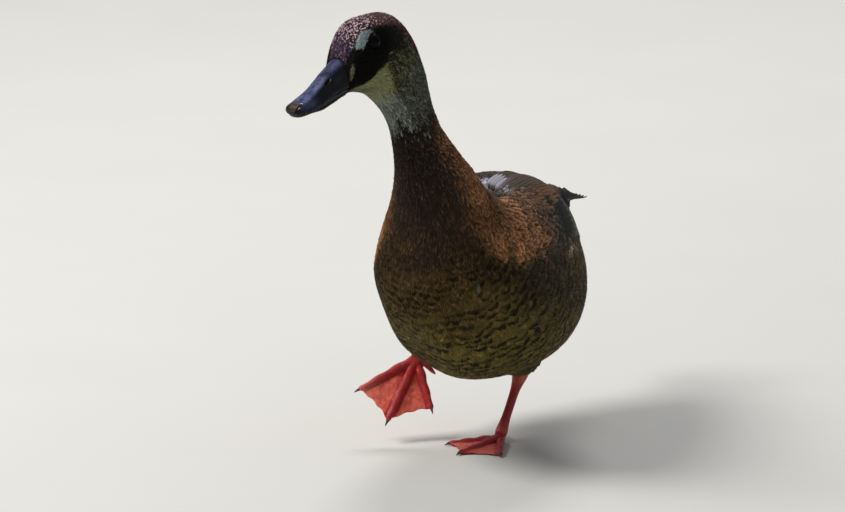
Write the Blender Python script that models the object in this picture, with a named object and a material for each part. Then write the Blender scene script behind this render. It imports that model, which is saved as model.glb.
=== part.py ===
"""Life-size still model of a female Brazilian teal (Amazonetta brasiliensis), a small brown duck, walking with its right foot lifted.

Run it with blender --background --python part.py. Metres, +Z up.
The duck faces -Y, so its left is +X. It stands on its left foot, whose pads are flats at z = 0.
The body is one lofted surface, from the vent along the trunk and up the neck to the bill, parted by thin cuts.
Its rings fan out between two profiles in the middle plane: the back line and the belly line.
"""

import math

import bmesh
import bpy
import numpy as np
from mathutils import Matrix, Vector

MM = 0.001
GAP = 0.15 * MM  # half of the thin cut between two pieces

# ---------------------------------------------------------------- sizes

# One row for each named cross-section: back line (y, z), belly line (y, z), half width, how far the widest
# level lies below the middle (0 is an ellipse), and the squareness of the section (2 is an ellipse). In mm.
SECTIONS = {
    "vent": (112, 109, 107, 96, 11.0, 0.00, 2.0),
    "rump": (96, 118.5, 92, 77, 21.5, 0.06, 2.0),
    "hip": (73, 130, 68, 56, 34.0, 0.18, 2.02),
    "loin": (44, 140, 39, 43, 43.8, 0.19, 2.05),
    "mid_back": (12, 145, 5, 38.5, 47.0, 0.17, 2.08),
    "back": (-18, 147.5, -33, 43, 46.3, 0.10, 2.08),
    "shoulder": (-38, 150.5, -63, 59, 42.2, 0.01, 2.05),
    "mantle": (-48, 155.5, -84, 85, 36.0, -0.02, 2.0),
    "neck_base": (-55, 163, -93, 112, 28.4, 0.00, 2.0),
    "lower_neck": (-61, 173, -96, 140, 21.4, 0.00, 2.0),
    "neck": (-67, 186, -97, 162, 14.9, 0.00, 2.0),
    "upper_neck": (-70, 200, -96, 182, 12.4, 0.00, 2.0),
    "throat": (-69, 215, -97.5, 197, 13.4, 0.02, 2.0),
    "nape": (-71.5, 232, -104, 206.5, 14.6, 0.04, 2.0),
    "crown": (-84.5, 247, -109.5, 210.5, 15.6, 0.06, 2.05),
    "forecrown": (-99.5, 251.5, -115.5, 212, 15.4, 0.06, 2.05),
    "brow": (-115, 250.5, -120.5, 212.5, 13.2, 0.03, 2.0),
    "forehead": (-123.5, 242.0, -124.5, 212, 10.6, 0.00, 2.0),
    "bill_base": (-128, 231.0, -127, 211.5, 8.6, -0.02, 2.1),
}
ORDER = list(SECTIONS)

HEAD_TURN = math.radians(26)  # to the duck's right
BODY_ROLL = math.radians(7)  # the back leans to the duck's right, the belly swings over the standing foot
NECK_LEAN = math.radians(20)  # sideways, to the duck's right
TURN_FROM, TURN_TO = "neck_base", "nape"
ROLL_TO = "neck_base"
LEAN_FROM, LEAN_TO = "neck_base", "forecrown"


# ---------------------------------------------------------------- curves


def at(name):
    """The loft parameter of a named section."""
    return float(ORDER.index(name))


def smooth(x):
    x = np.clip(x, 0.0, 1.0)
    return x * x * (3 - 2 * x)


class Spline:
    """A natural cubic spline through knots at xs, for any number of columns."""

    def __init__(self, xs, rows):
        self.x = np.asarray(xs, float)
        self.y = np.asarray(rows, float).reshape(len(self.x), -1)
        n = len(self.x)
        h = np.diff(self.x)
        a = np.eye(n)
        b = np.zeros_like(self.y)
        for i in range(1, n - 1):
            a[i, i - 1 : i + 2] = h[i - 1], 2 * (h[i - 1] + h[i]), h[i]
            b[i] = 6 * (
                (self.y[i + 1] - self.y[i]) / h[i]
                - (self.y[i] - self.y[i - 1]) / h[i - 1]
            )
        self.m = np.linalg.solve(a, b)

    def __call__(self, x):
        x = np.atleast_1d(np.asarray(x, float))
        i = np.clip(np.searchsorted(self.x, x) - 1, 0, len(self.x) - 2)
        h = (self.x[i + 1] - self.x[i])[:, None]
        l = (self.x[i + 1] - x)[:, None]
        r = (x - self.x[i])[:, None]
        return (
            self.m[i] * l**3 / (6 * h)
            + self.m[i + 1] * r**3 / (6 * h)
            + (self.y[i] / h - self.m[i] * h / 6) * l
            + (self.y[i + 1] / h - self.m[i + 1] * h / 6) * r
        )


BODY = Spline(range(len(ORDER)), [SECTIONS[n] for n in ORDER])


def turn_at(t):
    return HEAD_TURN * smooth((t - at(TURN_FROM)) / (at(TURN_TO) - at(TURN_FROM)))


def lean_at(t):
    """The trunk is rolled a little up to the breast. The neck leans further, and the head is level."""
    roll = 1 - smooth((t - 4.5) / (at(ROLL_TO) + 0.5 - 4.5))
    x = np.clip((t - at(LEAN_FROM)) / (at(LEAN_TO) - at(LEAN_FROM)), 0, 1)
    return BODY_ROLL * roll + NECK_LEAN * np.sin(np.pi * x)


def rotation(turn, lean):
    """Lean about the forward axis, then turn about the vertical one, both to the duck's right."""
    c, s = math.cos(lean), math.sin(lean)
    roll = np.array([[c, 0, -s], [0, 1, 0], [s, 0, c]])
    c, s = math.cos(-turn), math.sin(-turn)
    yaw = np.array([[c, -s, 0], [s, c, 0], [0, 0, 1]])
    return yaw @ roll


def middle(t):
    """Middle of the section at t, before the neck is bent."""
    row = BODY(t)[0]
    return np.array([0.0, (row[0] + row[2]) / 2, (row[1] + row[3]) / 2])


STEPS = 30  # bending steps for each section
BENT_T = np.linspace(0, len(ORDER) - 1, (len(ORDER) - 1) * STEPS + 1)


def bend():
    """Where the middle line runs once the neck leans and the head turns: each step is turned by its own angle."""
    line = [middle(0)]
    for t0, t1 in zip(BENT_T[:-1], BENT_T[1:]):
        tm = (t0 + t1) / 2
        step = middle(t1) - middle(t0)
        line.append(line[-1] + rotation(turn_at(tm), lean_at(tm)) @ step)
    return np.array(line)


BENT = bend()


def posed(t, points):
    """Points given in the unbent frame, carried by the section at t. In mm."""
    here = np.array([np.interp(t, BENT_T, BENT[:, k]) for k in range(3)])
    return (points - middle(t)) @ rotation(turn_at(t), lean_at(t)).T + here


def flat_ring(t, angles, grow=0.0):
    """Section of the body at t, unbent: angle 0 is the duck's left, 90 degrees is up. In mm."""
    dy, dz, vy, vz, w, k, e = BODY(t)[0]
    mid = np.array([0.0, (dy + vy) / 2, (dz + vz) / 2])
    up = np.array([0.0, (dy - vy) / 2, (dz - vz) / 2])
    length = np.linalg.norm(up)
    up *= (length + grow) / length
    c, s = np.cos(angles), np.sin(angles)
    a = np.sign(c) * np.abs(c) ** (2 / e)
    b = np.sign(s) * np.abs(s) ** (2 / e)
    side = (w + grow) * a * (1 - k * b)
    ring = mid + np.outer(b, up)
    ring[:, 0] = side
    return ring


def body_ring(t, angles, grow=0.0):
    return posed(t, flat_ring(t, angles, grow))


def ring_normal(t):
    """Direction in which the body runs at t, square to its section."""
    dy, dz, vy, vz = BODY(t)[0][:4]
    n = np.array([0.0, -(dz - vz), dy - vy])
    return rotation(turn_at(t), lean_at(t)) @ (n / np.linalg.norm(n))


# ---------------------------------------------------------------- Blender helpers


def clear_scene():
    for obj in list(bpy.data.objects):
        bpy.data.objects.remove(obj, do_unlink=True)


MATERIALS = {
    "plumage": ((0.10, 0.062, 0.036), 0.75),
    "neck_plumage": ((0.075, 0.055, 0.042), 0.75),
    "head_plumage": ((0.045, 0.030, 0.026), 0.7),
    "wing_plumage": ((0.065, 0.043, 0.027), 0.6),
    "tail_plumage": ((0.012, 0.011, 0.010), 0.55),
    "bill_horn": ((0.028, 0.033, 0.050), 0.35),
    "eye": ((0.010, 0.006, 0.004), 0.08),
    "leg_skin": ((0.46, 0.045, 0.025), 0.42),
    "claw": ((0.035, 0.02, 0.015), 0.4),
}


def material(name):
    found = bpy.data.materials.get(name)
    if found is None:
        colour, roughness = MATERIALS[name]
        found = bpy.data.materials.new(name)
        found.use_nodes = True
        shader = found.node_tree.nodes["Principled BSDF"]
        shader.inputs["Base Color"].default_value = (*colour, 1)
        shader.inputs["Roughness"].default_value = roughness
        shader.inputs["Metallic"].default_value = 0.0
    return found


def add(name, mesh, finish):
    obj = bpy.data.objects.new(name, mesh)
    bpy.context.scene.collection.objects.link(obj)
    mesh.materials.clear()
    mesh.materials.append(material(finish))
    mesh.shade_smooth()
    mesh.set_sharp_from_angle(angle=math.radians(50))
    return obj


def tube(rings, name):
    """A closed mesh through rings of points, in mm, with a fan over each end. Its faces are turned to point out."""
    bm = bmesh.new()
    rows = [[bm.verts.new(Vector(p) * MM) for p in ring] for ring in rings]
    n = len(rows[0])
    for a, b in zip(rows[:-1], rows[1:]):
        for i in range(n):
            j = (i + 1) % n
            bm.faces.new((a[i], a[j], b[j], b[i]))
    for row, ring in ((rows[0], rings[0]), (rows[-1], rings[-1])):
        hub = bm.verts.new(Vector(np.mean(ring, axis=0)) * MM)
        for i in range(n):
            bm.faces.new((row[i], row[(i + 1) % n], hub))
    bmesh.ops.recalc_face_normals(bm, faces=bm.faces)
    mesh = bpy.data.meshes.new(name)
    bm.to_mesh(mesh)
    bm.free()
    return mesh


def plate(top, bottom, name):
    """A closed mesh between two grids of points, in mm, that share their outline's order: a skin above, one below and a rim."""
    bm = bmesh.new()
    rows = [
        [[bm.verts.new(Vector(p) * MM) for p in line] for line in grid]
        for grid in (top, bottom)
    ]
    nu, nv = len(rows[0]), len(rows[0][0])
    for g in rows:
        for i in range(nu - 1):
            for j in range(nv - 1):
                bm.faces.new((g[i][j], g[i + 1][j], g[i + 1][j + 1], g[i][j + 1]))
    edge = (
        [(i, 0) for i in range(nu)]
        + [(nu - 1, j) for j in range(1, nv)]
        + [(i, nv - 1) for i in range(nu - 2, -1, -1)]
        + [(0, j) for j in range(nv - 2, 0, -1)]
    )
    for a, b in zip(edge, edge[1:] + edge[:1]):
        bm.faces.new(
            (rows[0][a[0]][a[1]], rows[0][b[0]][b[1]], rows[1][b[0]][b[1]], rows[1][a[0]][a[1]])
        )
    bmesh.ops.remove_doubles(bm, verts=bm.verts, dist=1e-6)
    bmesh.ops.recalc_face_normals(bm, faces=bm.faces)
    mesh = bpy.data.meshes.new(name)
    bm.to_mesh(mesh)
    bm.free()
    return mesh


def cut(obj, cutter, how="DIFFERENCE"):
    """Cuts obj by cutter, which is a helper and isn't part of the duck."""
    cutter.hide_render = True
    cutter.display_type = "WIRE"
    m = obj.modifiers.new("cut_" + cutter.name, "BOOLEAN")
    m.operation = how
    m.solver = "EXACT"
    m.object = cutter
    return m


# ---------------------------------------------------------------- trunk, neck, head


def body_piece(name, start, end, rings, finish, segments, free=()):
    """One length of the body. Each end that isn't free is pulled back by half of the thin cut."""
    angles = np.arange(segments) * 2 * np.pi / segments
    t = np.linspace(start, end, rings)
    rows = [body_ring(x, angles) for x in t]
    if "start" not in free:
        rows[0] = rows[0] + ring_normal(start) * GAP / MM
    if "end" not in free:
        rows[-1] = rows[-1] - ring_normal(end) * GAP / MM
    return add(name, tube(rows, name), finish)


def body_cutter(name, start, end, rings, segments, grow):
    """The body a little larger all round, which trims what lies on it."""
    angles = np.arange(segments) * 2 * np.pi / segments
    rows = [body_ring(x, angles, grow) for x in np.linspace(start, end, rings)]
    rows[0] = rows[0] - ring_normal(start) * grow
    return add(name, tube(rows, name), "plumage")


# ---------------------------------------------------------------- eyes

EYE_R = 4.3  # radius of the ball that shows
EYE_T = 15.6  # where it lies along the head, as a loft parameter
EYE_UP = 26.0  # degrees above the head's widest level
EYE_DEEP = 2.55  # the ball's middle lies this far inside the skin


def eye_centre(side):
    """side is 1 for the left eye and -1 for the right."""
    angle = math.radians(EYE_UP if side > 0 else 180 - EYE_UP)
    ring = flat_ring(EYE_T, np.array([angle]))[0]
    inward = middle(EYE_T) - ring
    inward[1] *= 0.2
    inward /= np.linalg.norm(inward)
    return posed(EYE_T, ring + inward * EYE_DEEP)


def ball(name, centre, radius, finish, rings=8, segments=14):
    bm = bmesh.new()
    bmesh.ops.create_uvsphere(bm, u_segments=segments, v_segments=rings, radius=radius * MM)
    bmesh.ops.translate(bm, verts=bm.verts, vec=Vector(centre) * MM)
    mesh = bpy.data.meshes.new(name)
    bm.to_mesh(mesh)
    bm.free()
    return add(name, mesh, finish)


# ---------------------------------------------------------------- bill

BILL_L = 34.5
# along the bill: height of the upper half, depth of the lower half, half width of the upper, half width of the lower
BILL = Spline(
    [0, 5.2, 11.5, 17.5, 23.7, 29.3, 32.7, 34.5],
    [
        (13.6, 5.4, 8.3, 7.3),
        (10.4, 5.2, 7.9, 6.9),
        (7.6, 4.7, 7.5, 6.4),
        (5.8, 4.0, 7.5, 6.2),
        (4.8, 3.2, 7.9, 6.3),
        (3.9, 2.4, 7.7, 5.9),
        (2.9, 1.7, 5.8, 4.2),
        (1.4, 0.9, 2.3, 1.6),
    ],
)
BILL_DOWN = math.radians(15)  # the mouth line falls this much
MOUTH = -0.46  # height of the mouth line on the bill's base section, from -1 to 1


def bill_frame():
    """Where the bill starts, on the mouth line, with its forward, up and left directions, before the head turns."""
    t = at("bill_base")
    dy, dz, vy, vz = BODY(t)[0][:4]
    mid = np.array([0.0, (dy + vy) / 2, (dz + vz) / 2])
    up = np.array([0.0, (dy - vy) / 2, (dz - vz) / 2])
    ahead = np.array([0.0, -math.cos(BILL_DOWN), -math.sin(BILL_DOWN)])
    above = np.array([0.0, -math.sin(BILL_DOWN), math.cos(BILL_DOWN)])
    return mid + up * MOUTH, ahead, above, np.array([1.0, 0.0, 0.0]), up / np.linalg.norm(up)


def bill_half(name, upper, rings=11, segments=14):
    """Upper or lower half of the bill. Its first section lies in the plane of the head's front, its last at the tip."""
    t = at("bill_base")
    start, ahead, above, left, tilt = bill_frame()
    rows = []
    angles = np.arange(segments) * 2 * np.pi / segments
    for i in range(rings):
        f = i / (rings - 1)
        x = BILL_L * (1 - (1 - f) ** 1.35)
        if not upper:
            x = x * 0.955
        high, low, wide, narrow = BILL(x)[0]
        c, s = np.cos(angles), np.sin(angles)
        share = np.clip(1 - x / 9.0, 0, 1)  # the first sections lean with the face, later ones stand square
        rise = above * (1 - share) + tilt * share
        rise = rise / np.linalg.norm(rise)
        if upper:
            squash = np.where(s > 0, high, 0.55)
            half = wide * np.sign(c) * np.abs(c) ** 0.8
        else:
            squash = np.where(s > 0, 0.0, low)
            half = narrow * np.sign(c) * np.abs(c) ** 0.85
        lift = 0.55 + GAP / MM if upper else -GAP / MM
        edge = 1.0 * np.sin(np.pi * np.clip((x - 6) / 33, 0, 1)) ** 2  # the mouth line's slight curve
        ring = (
            start
            + ahead * x
            + np.outer(half, left)
            + np.outer(squash * np.sign(s) * np.abs(s) ** 0.95 + lift - edge, rise)
        )
        rows.append(ring)
    normal = np.cross(left, tilt)
    normal /= np.linalg.norm(normal)
    if normal @ ahead < 0:
        normal = -normal
    # the first section is laid flat on the face, a thin cut ahead of it
    first = rows[0]
    first = first - np.outer((first - start) @ normal, normal) + normal * GAP / MM
    rows[0] = first
    rows = [posed(t, r) for r in rows]
    return add(name, tube(rows, name), "bill_horn")


# ---------------------------------------------------------------- wings

# Loft parameters of the sections that lie on the trunk, from the wrist to the rump.
WING_ON = (6.45, 5.8, 5.0, 4.0, 3.0, 2.0, 1.35)
# Beyond the rump the folded wing stands free: middle y and z, half height along y and z, half width.
WING_TIP = (
    (100, 110, 1.0, 11.0, 20.0),
    (115, 110.5, 0.5, 6.5, 14.0),
    (128, 111, 0.2, 4.0, 9.0),
    (138, 111.5, 0.1, 2.4, 5.0),
)
# At each of those: angle of the lower edge, angle of the upper edge, and how far the wing swells out, in mm.
WING_EDGES = (
    (24, 42, 0.5),
    (18, 54, 1.6),
    (15, 61, 2.4),
    (12, 66, 2.8),
    (10, 69, 3.0),
    (8, 72, 2.8),
    (4, 74, 2.4),
    (0, 74, 1.8),
    (2, 72, 1.2),
    (6, 66, 0.8),
    (12, 58, 0.5),
)


def wing_stations():
    rows = []
    for t in WING_ON:
        dy, dz, vy, vz, w, k = BODY(t)[0][:6]
        rows.append([t, (dy + vy) / 2, (dz + vz) / 2, (dy - vy) / 2, (dz - vz) / 2, w, k])
    rows += [[0.9 - 0.3 * i, *r, 0.06] for i, r in enumerate(WING_TIP)]
    return Spline(range(len(rows)), [r + list(e) for r, e in zip(rows, WING_EDGES)])


WING = wing_stations()
WING_N = len(WING_ON) + len(WING_TIP)


def wing_points(u, v, depth, side):
    """u runs from the wrist to the tip, v from the lower edge to the upper one. depth is measured out of the trunk's own surface."""
    t, my, mz, uy, uz, w, k, low, high, swell = WING(u * (WING_N - 1))[0]
    angle = np.radians(low + (high - low) * v)
    c, s = np.cos(angle), np.sin(angle)
    p = np.stack([w * c * (1 - k * s), my + uy * s, mz + uz * s], axis=1)
    n = np.stack([c * uz, 0 * c, s * w], axis=1)
    n /= np.linalg.norm(n, axis=1)[:, None]
    lens = swell * np.sin(np.pi * np.clip(v, 0, 1)) ** 0.6
    p = p + n * (lens * (depth > 0) + depth)[:, None]
    p[:, 0] *= side
    return posed(max(t, 0.0), p)


def wing(name, side, trims):
    nu, nv = 24, 9
    v = np.linspace(0, 1, nv)
    top, bottom = [], []
    for i in range(nu):
        u = i / (nu - 1)
        free = smooth((u * (WING_N - 1) - 5.6) / 1.6)
        edge = 0.9 * (1 - free) + 0.4 * free
        inner = 4.0 * (1 - free) + (0.4 + 1.2 * np.sin(np.pi * v) * (1 - u)) * free
        top.append(wing_points(u, v, np.full(nv, edge), side))
        bottom.append(wing_points(u, v, -inner * np.ones(nv), side))
    obj = add(name, plate(top, bottom, name), "wing_plumage")
    for c in trims:
        cut(obj, c)
    return obj


# ---------------------------------------------------------------- tail

TAIL_L = 53.0
# distance behind the vent's section, height of the middle, half width, half thickness
TAIL = Spline(
    [0, 8, 18, 28, 38, 45, 50, 53],
    [
        (102.5, 10.8, 6.2),
        (103.0, 11.8, 5.2),
        (104.0, 12.8, 3.8),
        (105.2, 13.0, 2.6),
        (106.2, 11.8, 1.8),
        (106.8, 9.2, 1.3),
        (107.2, 5.6, 1.0),
        (107.4, 2.0, 0.7),
    ],
)
TAIL_FAN = 1.4  # how much the middle stands above the edges


def tail_rows(rings, segments, grow=0.0):
    """The folded tail, from the vent's section to its rounded tip."""
    dy, dz, vy, vz = BODY(0)[0][:4]
    angles = np.arange(segments) * 2 * np.pi / segments
    c, s = np.cos(angles), np.sin(angles)
    rows = []
    for i in range(rings):
        x = TAIL_L * (1 - (1 - i / (rings - 1)) ** 1.25)
        z, w, h = TAIL(x)[0]
        lean = (1 - smooth(x / 12)) * (dy - vy) / (dz - vz)
        up = (h + grow) * s
        ring = np.zeros((segments, 3))
        ring[:, 0] = (w + grow) * c
        ring[:, 1] = (dy + vy) / 2 + x + lean * up
        ring[:, 2] = z + up - TAIL_FAN * smooth(x / 30) * min(1.0, w / 13.0) * c * c
        rows.append(posed(0, ring))
    n = -ring_normal(0)
    rows[0] = rows[0] + n * 2 * GAP / MM
    return rows


def tail(name, rings=10, segments=16):
    return add(name, tube(tail_rows(rings, segments), name), "tail_plumage")


# ---------------------------------------------------------------- legs

FOOT_JOINT = {1: np.array([8.5, 11.0, 4.6]), -1: np.array([-38.4, 11.3, 43.0])}
ANKLE = {1: np.array([13.5, 32.5, 34.6]), -1: np.array([-34.2, 41.0, 58.5])}
THIGH_TOP = {1: np.array([19.0, 8.0, 58.0]), -1: np.array([-27.0, 20.0, 70.0])}
TOE_L = {"inner": 29.0, "middle": 39.0, "outer": 36.0}
TOE_SPREAD = {"inner": 36.0, "middle": 0.0, "outer": -34.0}  # degrees from the middle toe
TOES_IN = 18.0  # the standing foot points this much towards the middle line
RAISED = {  # directions of the lifted foot's toes
    "inner": np.array([14.1, -13.5, -26.0]),
    "middle": np.array([-3.0, -35.0, -21.0]),
    "outer": np.array([-27.9, -26.3, -14.1]),
}
# share of the way from the ankle to the toes' joint, half width, half depth
TARSUS = (
    (-0.11, 2.4, 2.6),
    (-0.07, 3.9, 4.2),
    (0.0, 4.5, 4.9),
    (0.1, 4.0, 4.5),
    (0.25, 2.8, 3.4),
    (0.5, 2.3, 2.8),
    (0.75, 2.4, 2.8),
    (0.9, 3.0, 3.1),
    (1.0, 3.3, 3.2),
    (1.045, 2.9, 2.8),
)


def unit(v):
    v = np.asarray(v, float)
    return v / np.linalg.norm(v)


def foot_axes(side):
    """Unit directions of the three toes, and the direction that the back of the foot faces."""
    if side > 0:
        out = {}
        for toe, spread in TOE_SPREAD.items():
            a = math.radians(TOES_IN + spread)
            out[toe] = np.array([-math.sin(a), -math.cos(a), 0.0])
        return out, np.array([0.0, 0.0, 1.0])
    out = {toe: unit(v) for toe, v in RAISED.items()}
    n = np.cross(out["inner"], out["outer"])
    n = unit(n if n[2] > 0 else -n)
    out = {toe: unit(v - n * (v @ n)) for toe, v in out.items()}
    return out, n


def toe_line(side, toe, r, axes, normal):
    """Middle of a toe's sole at distance r from the joint. The lifted foot's toes curl down a little."""
    j = FOOT_JOINT[side]
    drop = FOOT_JOINT[1][2]  # the sole lies this far below the joint
    curl = 0.0 if side > 0 else -2.2 * (r / 40.0) ** 2
    return j + axes[toe] * r + normal * (curl - drop)


def toe_half_width(r, length):
    f = np.clip(r / length, 0, 1)
    return 2.5 * (1 - f) + 1.35 * f + 0.25 * np.cos(f * 6 * math.pi) * (1 - f)


def toe_height(r, length):
    f = np.clip(r / length, 0, 1)
    return 4.4 * (1 - f) + 2.5 * f + 0.3 * np.cos(f * 6 * math.pi) * (1 - f)


def foot(name, side, cutter):
    axes, normal = foot_axes(side)
    order = ["inner", "middle", "outer"] if side > 0 else ["outer", "middle", "inner"]
    rows, webs = 9, 2
    top, bottom = [], []
    for i in range(rows):
        f = i / (rows - 1)
        up, down = [], []
        lines = []
        for toe in order:
            length = TOE_L[toe]
            r = 3.0 + (length - 3.0) * f
            axis = axes[toe]
            across = unit(np.cross(normal, axis))  # towards the next toe
            p = toe_line(side, toe, r, axes, normal)
            w, h = min(toe_half_width(r, length), 0.27 * r), toe_height(r, length)
            if f > 0.999:
                w *= 0.8
                h *= 0.85
            lines.append((p, across, w, h, length))
        for n, (p, across, w, h, length) in enumerate(lines):
            for k in (-1.0, -0.6, 0.0, 0.6, 1.0):
                up.append(p + across * w * k + normal * (h * (0.34 + 0.66 * math.sqrt(max(0, 1 - k * k)))))
                down.append(p + across * w * k * 0.9 + normal * (0.0 if abs(k) < 0.9 else 0.30))
            if n == len(lines) - 1:
                break
            q, across2, w2, h2, length2 = lines[n + 1]
            a, b = p + across * w, q - across2 * w2
            for m in range(1, webs + 1):
                g = m / (webs + 1)
                mid = a * (1 - g) + b * g
                pull = 0.06 * 4 * g * (1 - g) * f**1.5  # the web's free edge curves in between the toes
                mid = mid + (FOOT_JOINT[side] - normal * FOOT_JOINT[1][2] - mid) * pull
                sag = 0.55 * math.sin(math.pi * g) * f
                up.append(mid + normal * (1.45 - sag))
                down.append(mid + normal * (0.75 - sag))
        top.append(up)
        bottom.append(down)
    obj = add(name, plate(top, bottom, name), "leg_skin")
    cut(obj, cutter)
    return obj


def claw(name, side, toe):
    axes, normal = foot_axes(side)
    axis = axes[toe]
    across = unit(np.cross(axis, normal))
    length = TOE_L[toe]
    tip = toe_line(side, toe, length, axes, normal)
    base = tip + axis * (2 * GAP / MM) + normal * 1.25
    rows = []
    for i in range(4):
        f = i / 3
        r = 1.05 * (1 - f) ** 0.75 + 0.12
        c = base + axis * 3.0 * f - normal * 0.95 * f * f
        a = np.arange(6) * math.pi / 3
        rows.append(c + np.outer(np.cos(a) * r * 0.85, across) + np.outer(np.sin(a) * r * 1.05, normal))
    return add(name, tube(rows, name), "claw")


def limb_rows(points, radii, segments, across):
    """Rings square to a chain of points, for a limb."""
    rows = []
    n = len(points)
    for i, (p, r) in enumerate(zip(points, radii)):
        d = unit(points[min(i + 1, n - 1)] - points[max(i - 1, 0)])
        s = unit(across - d * (across @ d))
        f = np.cross(d, s)
        a = np.arange(segments) * 2 * math.pi / segments
        rows.append(p + np.outer(np.cos(a) * r[0], s) + np.outer(np.sin(a) * r[1], f))
    return rows


def leg_rows(side, grow=0.0, segments=10):
    """From the rounded ankle joint down the tarsus to the toes' joint."""
    j, a = FOOT_JOINT[side], ANKLE[side]
    along = j - a
    length = np.linalg.norm(along)
    pts, rad = [], []
    for f, r, s in TARSUS:
        pts.append(a + along * f)
        rad.append((r + grow, s + grow))
    pts[-1] = pts[-1] + along / length * grow
    pts[0] = pts[0] - along / length * grow
    return limb_rows(np.array(pts), rad, segments, np.array([1.0, 0.0, 0.0]))


def hallux_rows(side, segments=7):
    """The small hind toe, set on the inner back of the tarsus above the joint."""
    j = FOOT_JOINT[side]
    if side > 0:
        way = np.array([-2.2, 12.0, -3.1])
        base = j + np.array([-1.0, 1.2, 0.6])
    else:
        way = np.array([8.0, 3.2, -9.0])
        base = j + np.array([1.0, 1.2, -0.8])
    pts = [base + way * f for f in (0.0, 0.4, 0.8, 1.0)]
    rad = [(r, r) for r in (1.5, 1.5, 1.1, 0.5)]
    return limb_rows(np.array(pts), rad, segments, np.array([0.7, 0.0, 0.7]))


def leg(name, side, cutter):
    obj = add(name, tube(leg_rows(side), name), "leg_skin")
    toe = add(name + "_hind_toe", tube(hallux_rows(side), name + "_hind_toe"), "leg_skin")
    cut(obj, toe, "UNION")
    cut(obj, cutter)
    return obj


# share of the way from the hip to the ankle, radius
THIGH = {
    1: ((0.0, 15.0), (0.25, 15.0), (0.5, 13.0), (0.7, 10.0), (0.85, 7.2), (0.95, 5.6)),
    -1: ((0.0, 13.0), (0.25, 13.0), (0.5, 11.5), (0.7, 9.5), (0.85, 7.4), (0.96, 5.6)),
}


def thigh(name, side, trims):
    a, k = ANKLE[side], THIGH_TOP[side]
    pts = np.array([k + (a - k) * f for f, _ in THIGH[side]])
    rad = [(r, r * 1.15) for _, r in THIGH[side]]
    obj = add(name, tube(limb_rows(pts, rad, 14, np.array([1.0, 0.0, 0.0])), name), "plumage")
    for c in trims:
        cut(obj, c)
    return obj


# ---------------------------------------------------------------- assembly


def rest_on_floor():
    """Moves everything so that the origin is the middle of the duck's bounding box, at the floor."""
    shown = [o for o in bpy.context.scene.objects if not o.hide_render]
    points = np.array([v.co for o in shown for v in o.data.vertices])
    low, high = points.min(axis=0), points.max(axis=0)
    shift = Vector((-(low[0] + high[0]) / 2, -(low[1] + high[1]) / 2, -low[2]))
    for obj in bpy.context.scene.objects:
        obj.data.transform(Matrix.Translation(shift))


def build():
    clear_scene()
    t_neck, t_head, t_bill = at("lower_neck"), at("throat"), at("bill_base")
    body_piece("trunk", 0, t_neck, 24, "plumage", 32, free=("start",))
    body_piece("neck", t_neck, t_head, 9, "neck_plumage", 24)
    head = body_piece("head", t_head, t_bill, 15, "head_plumage", 26)
    shell = body_cutter("trunk_shell", 0, t_neck, 24, 32, 2 * GAP / MM)
    tail_shell = add("tail_shell", tube(tail_rows(10, 16, 2 * GAP / MM), "tail_shell"), "tail_plumage")
    for side, word in ((1, "left"), (-1, "right")):
        centre = eye_centre(side)
        ball(f"eye_{word}", centre, EYE_R, "eye")
        socket = ball(f"socket_{word}", centre, EYE_R + 2 * GAP / MM, "eye")
        cut(head, socket)
        wing(f"wing_{word}", side, (shell, tail_shell))
        leg_shell = add(f"leg_shell_{word}", tube(leg_rows(side, 2 * GAP / MM), f"leg_shell_{word}"), "leg_skin")
        leg(f"leg_{word}", side, shell)
        foot(f"foot_{word}", side, leg_shell)
        thigh(f"thigh_{word}", side, (shell, leg_shell))
        for toe in TOE_L:
            claw(f"claw_{word}_{toe}", side, toe)
    bill_half("bill_upper", True)
    bill_half("bill_lower", False)
    tail("tail")
    rest_on_floor()


build()
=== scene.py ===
"""Looks of a female Brazilian teal: one skin, a coat of modelled vanes laid along the lie of the feathers, bill, eyes, legs and feet.

The body's surface is found again from the same named sections as the CAD model, so that each feather has a place
(t along the body from the vent to the bill, angle round it) and follows the surface.
"""

import math

import bmesh
import bpy
import numpy as np
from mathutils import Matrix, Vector
from mathutils.kdtree import KDTree


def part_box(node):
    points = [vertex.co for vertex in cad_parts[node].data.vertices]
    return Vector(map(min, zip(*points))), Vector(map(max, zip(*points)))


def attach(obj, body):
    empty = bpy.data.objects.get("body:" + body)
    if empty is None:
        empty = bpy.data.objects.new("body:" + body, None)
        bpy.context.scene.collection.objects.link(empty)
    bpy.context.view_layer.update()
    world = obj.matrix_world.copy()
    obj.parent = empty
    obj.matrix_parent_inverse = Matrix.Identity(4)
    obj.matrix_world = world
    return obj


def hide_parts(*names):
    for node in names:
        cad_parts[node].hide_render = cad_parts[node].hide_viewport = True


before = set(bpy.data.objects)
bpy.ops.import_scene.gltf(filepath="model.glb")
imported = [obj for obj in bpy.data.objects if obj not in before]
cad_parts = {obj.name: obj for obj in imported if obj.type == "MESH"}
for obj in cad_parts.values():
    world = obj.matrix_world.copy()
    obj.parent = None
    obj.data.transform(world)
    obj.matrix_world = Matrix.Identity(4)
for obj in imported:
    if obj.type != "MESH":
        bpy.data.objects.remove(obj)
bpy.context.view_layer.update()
MM = 0.001
RNG = np.random.default_rng(41)

# ---------------------------------------------------------------- the body's sections, in mm (as in the CAD model)

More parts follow.
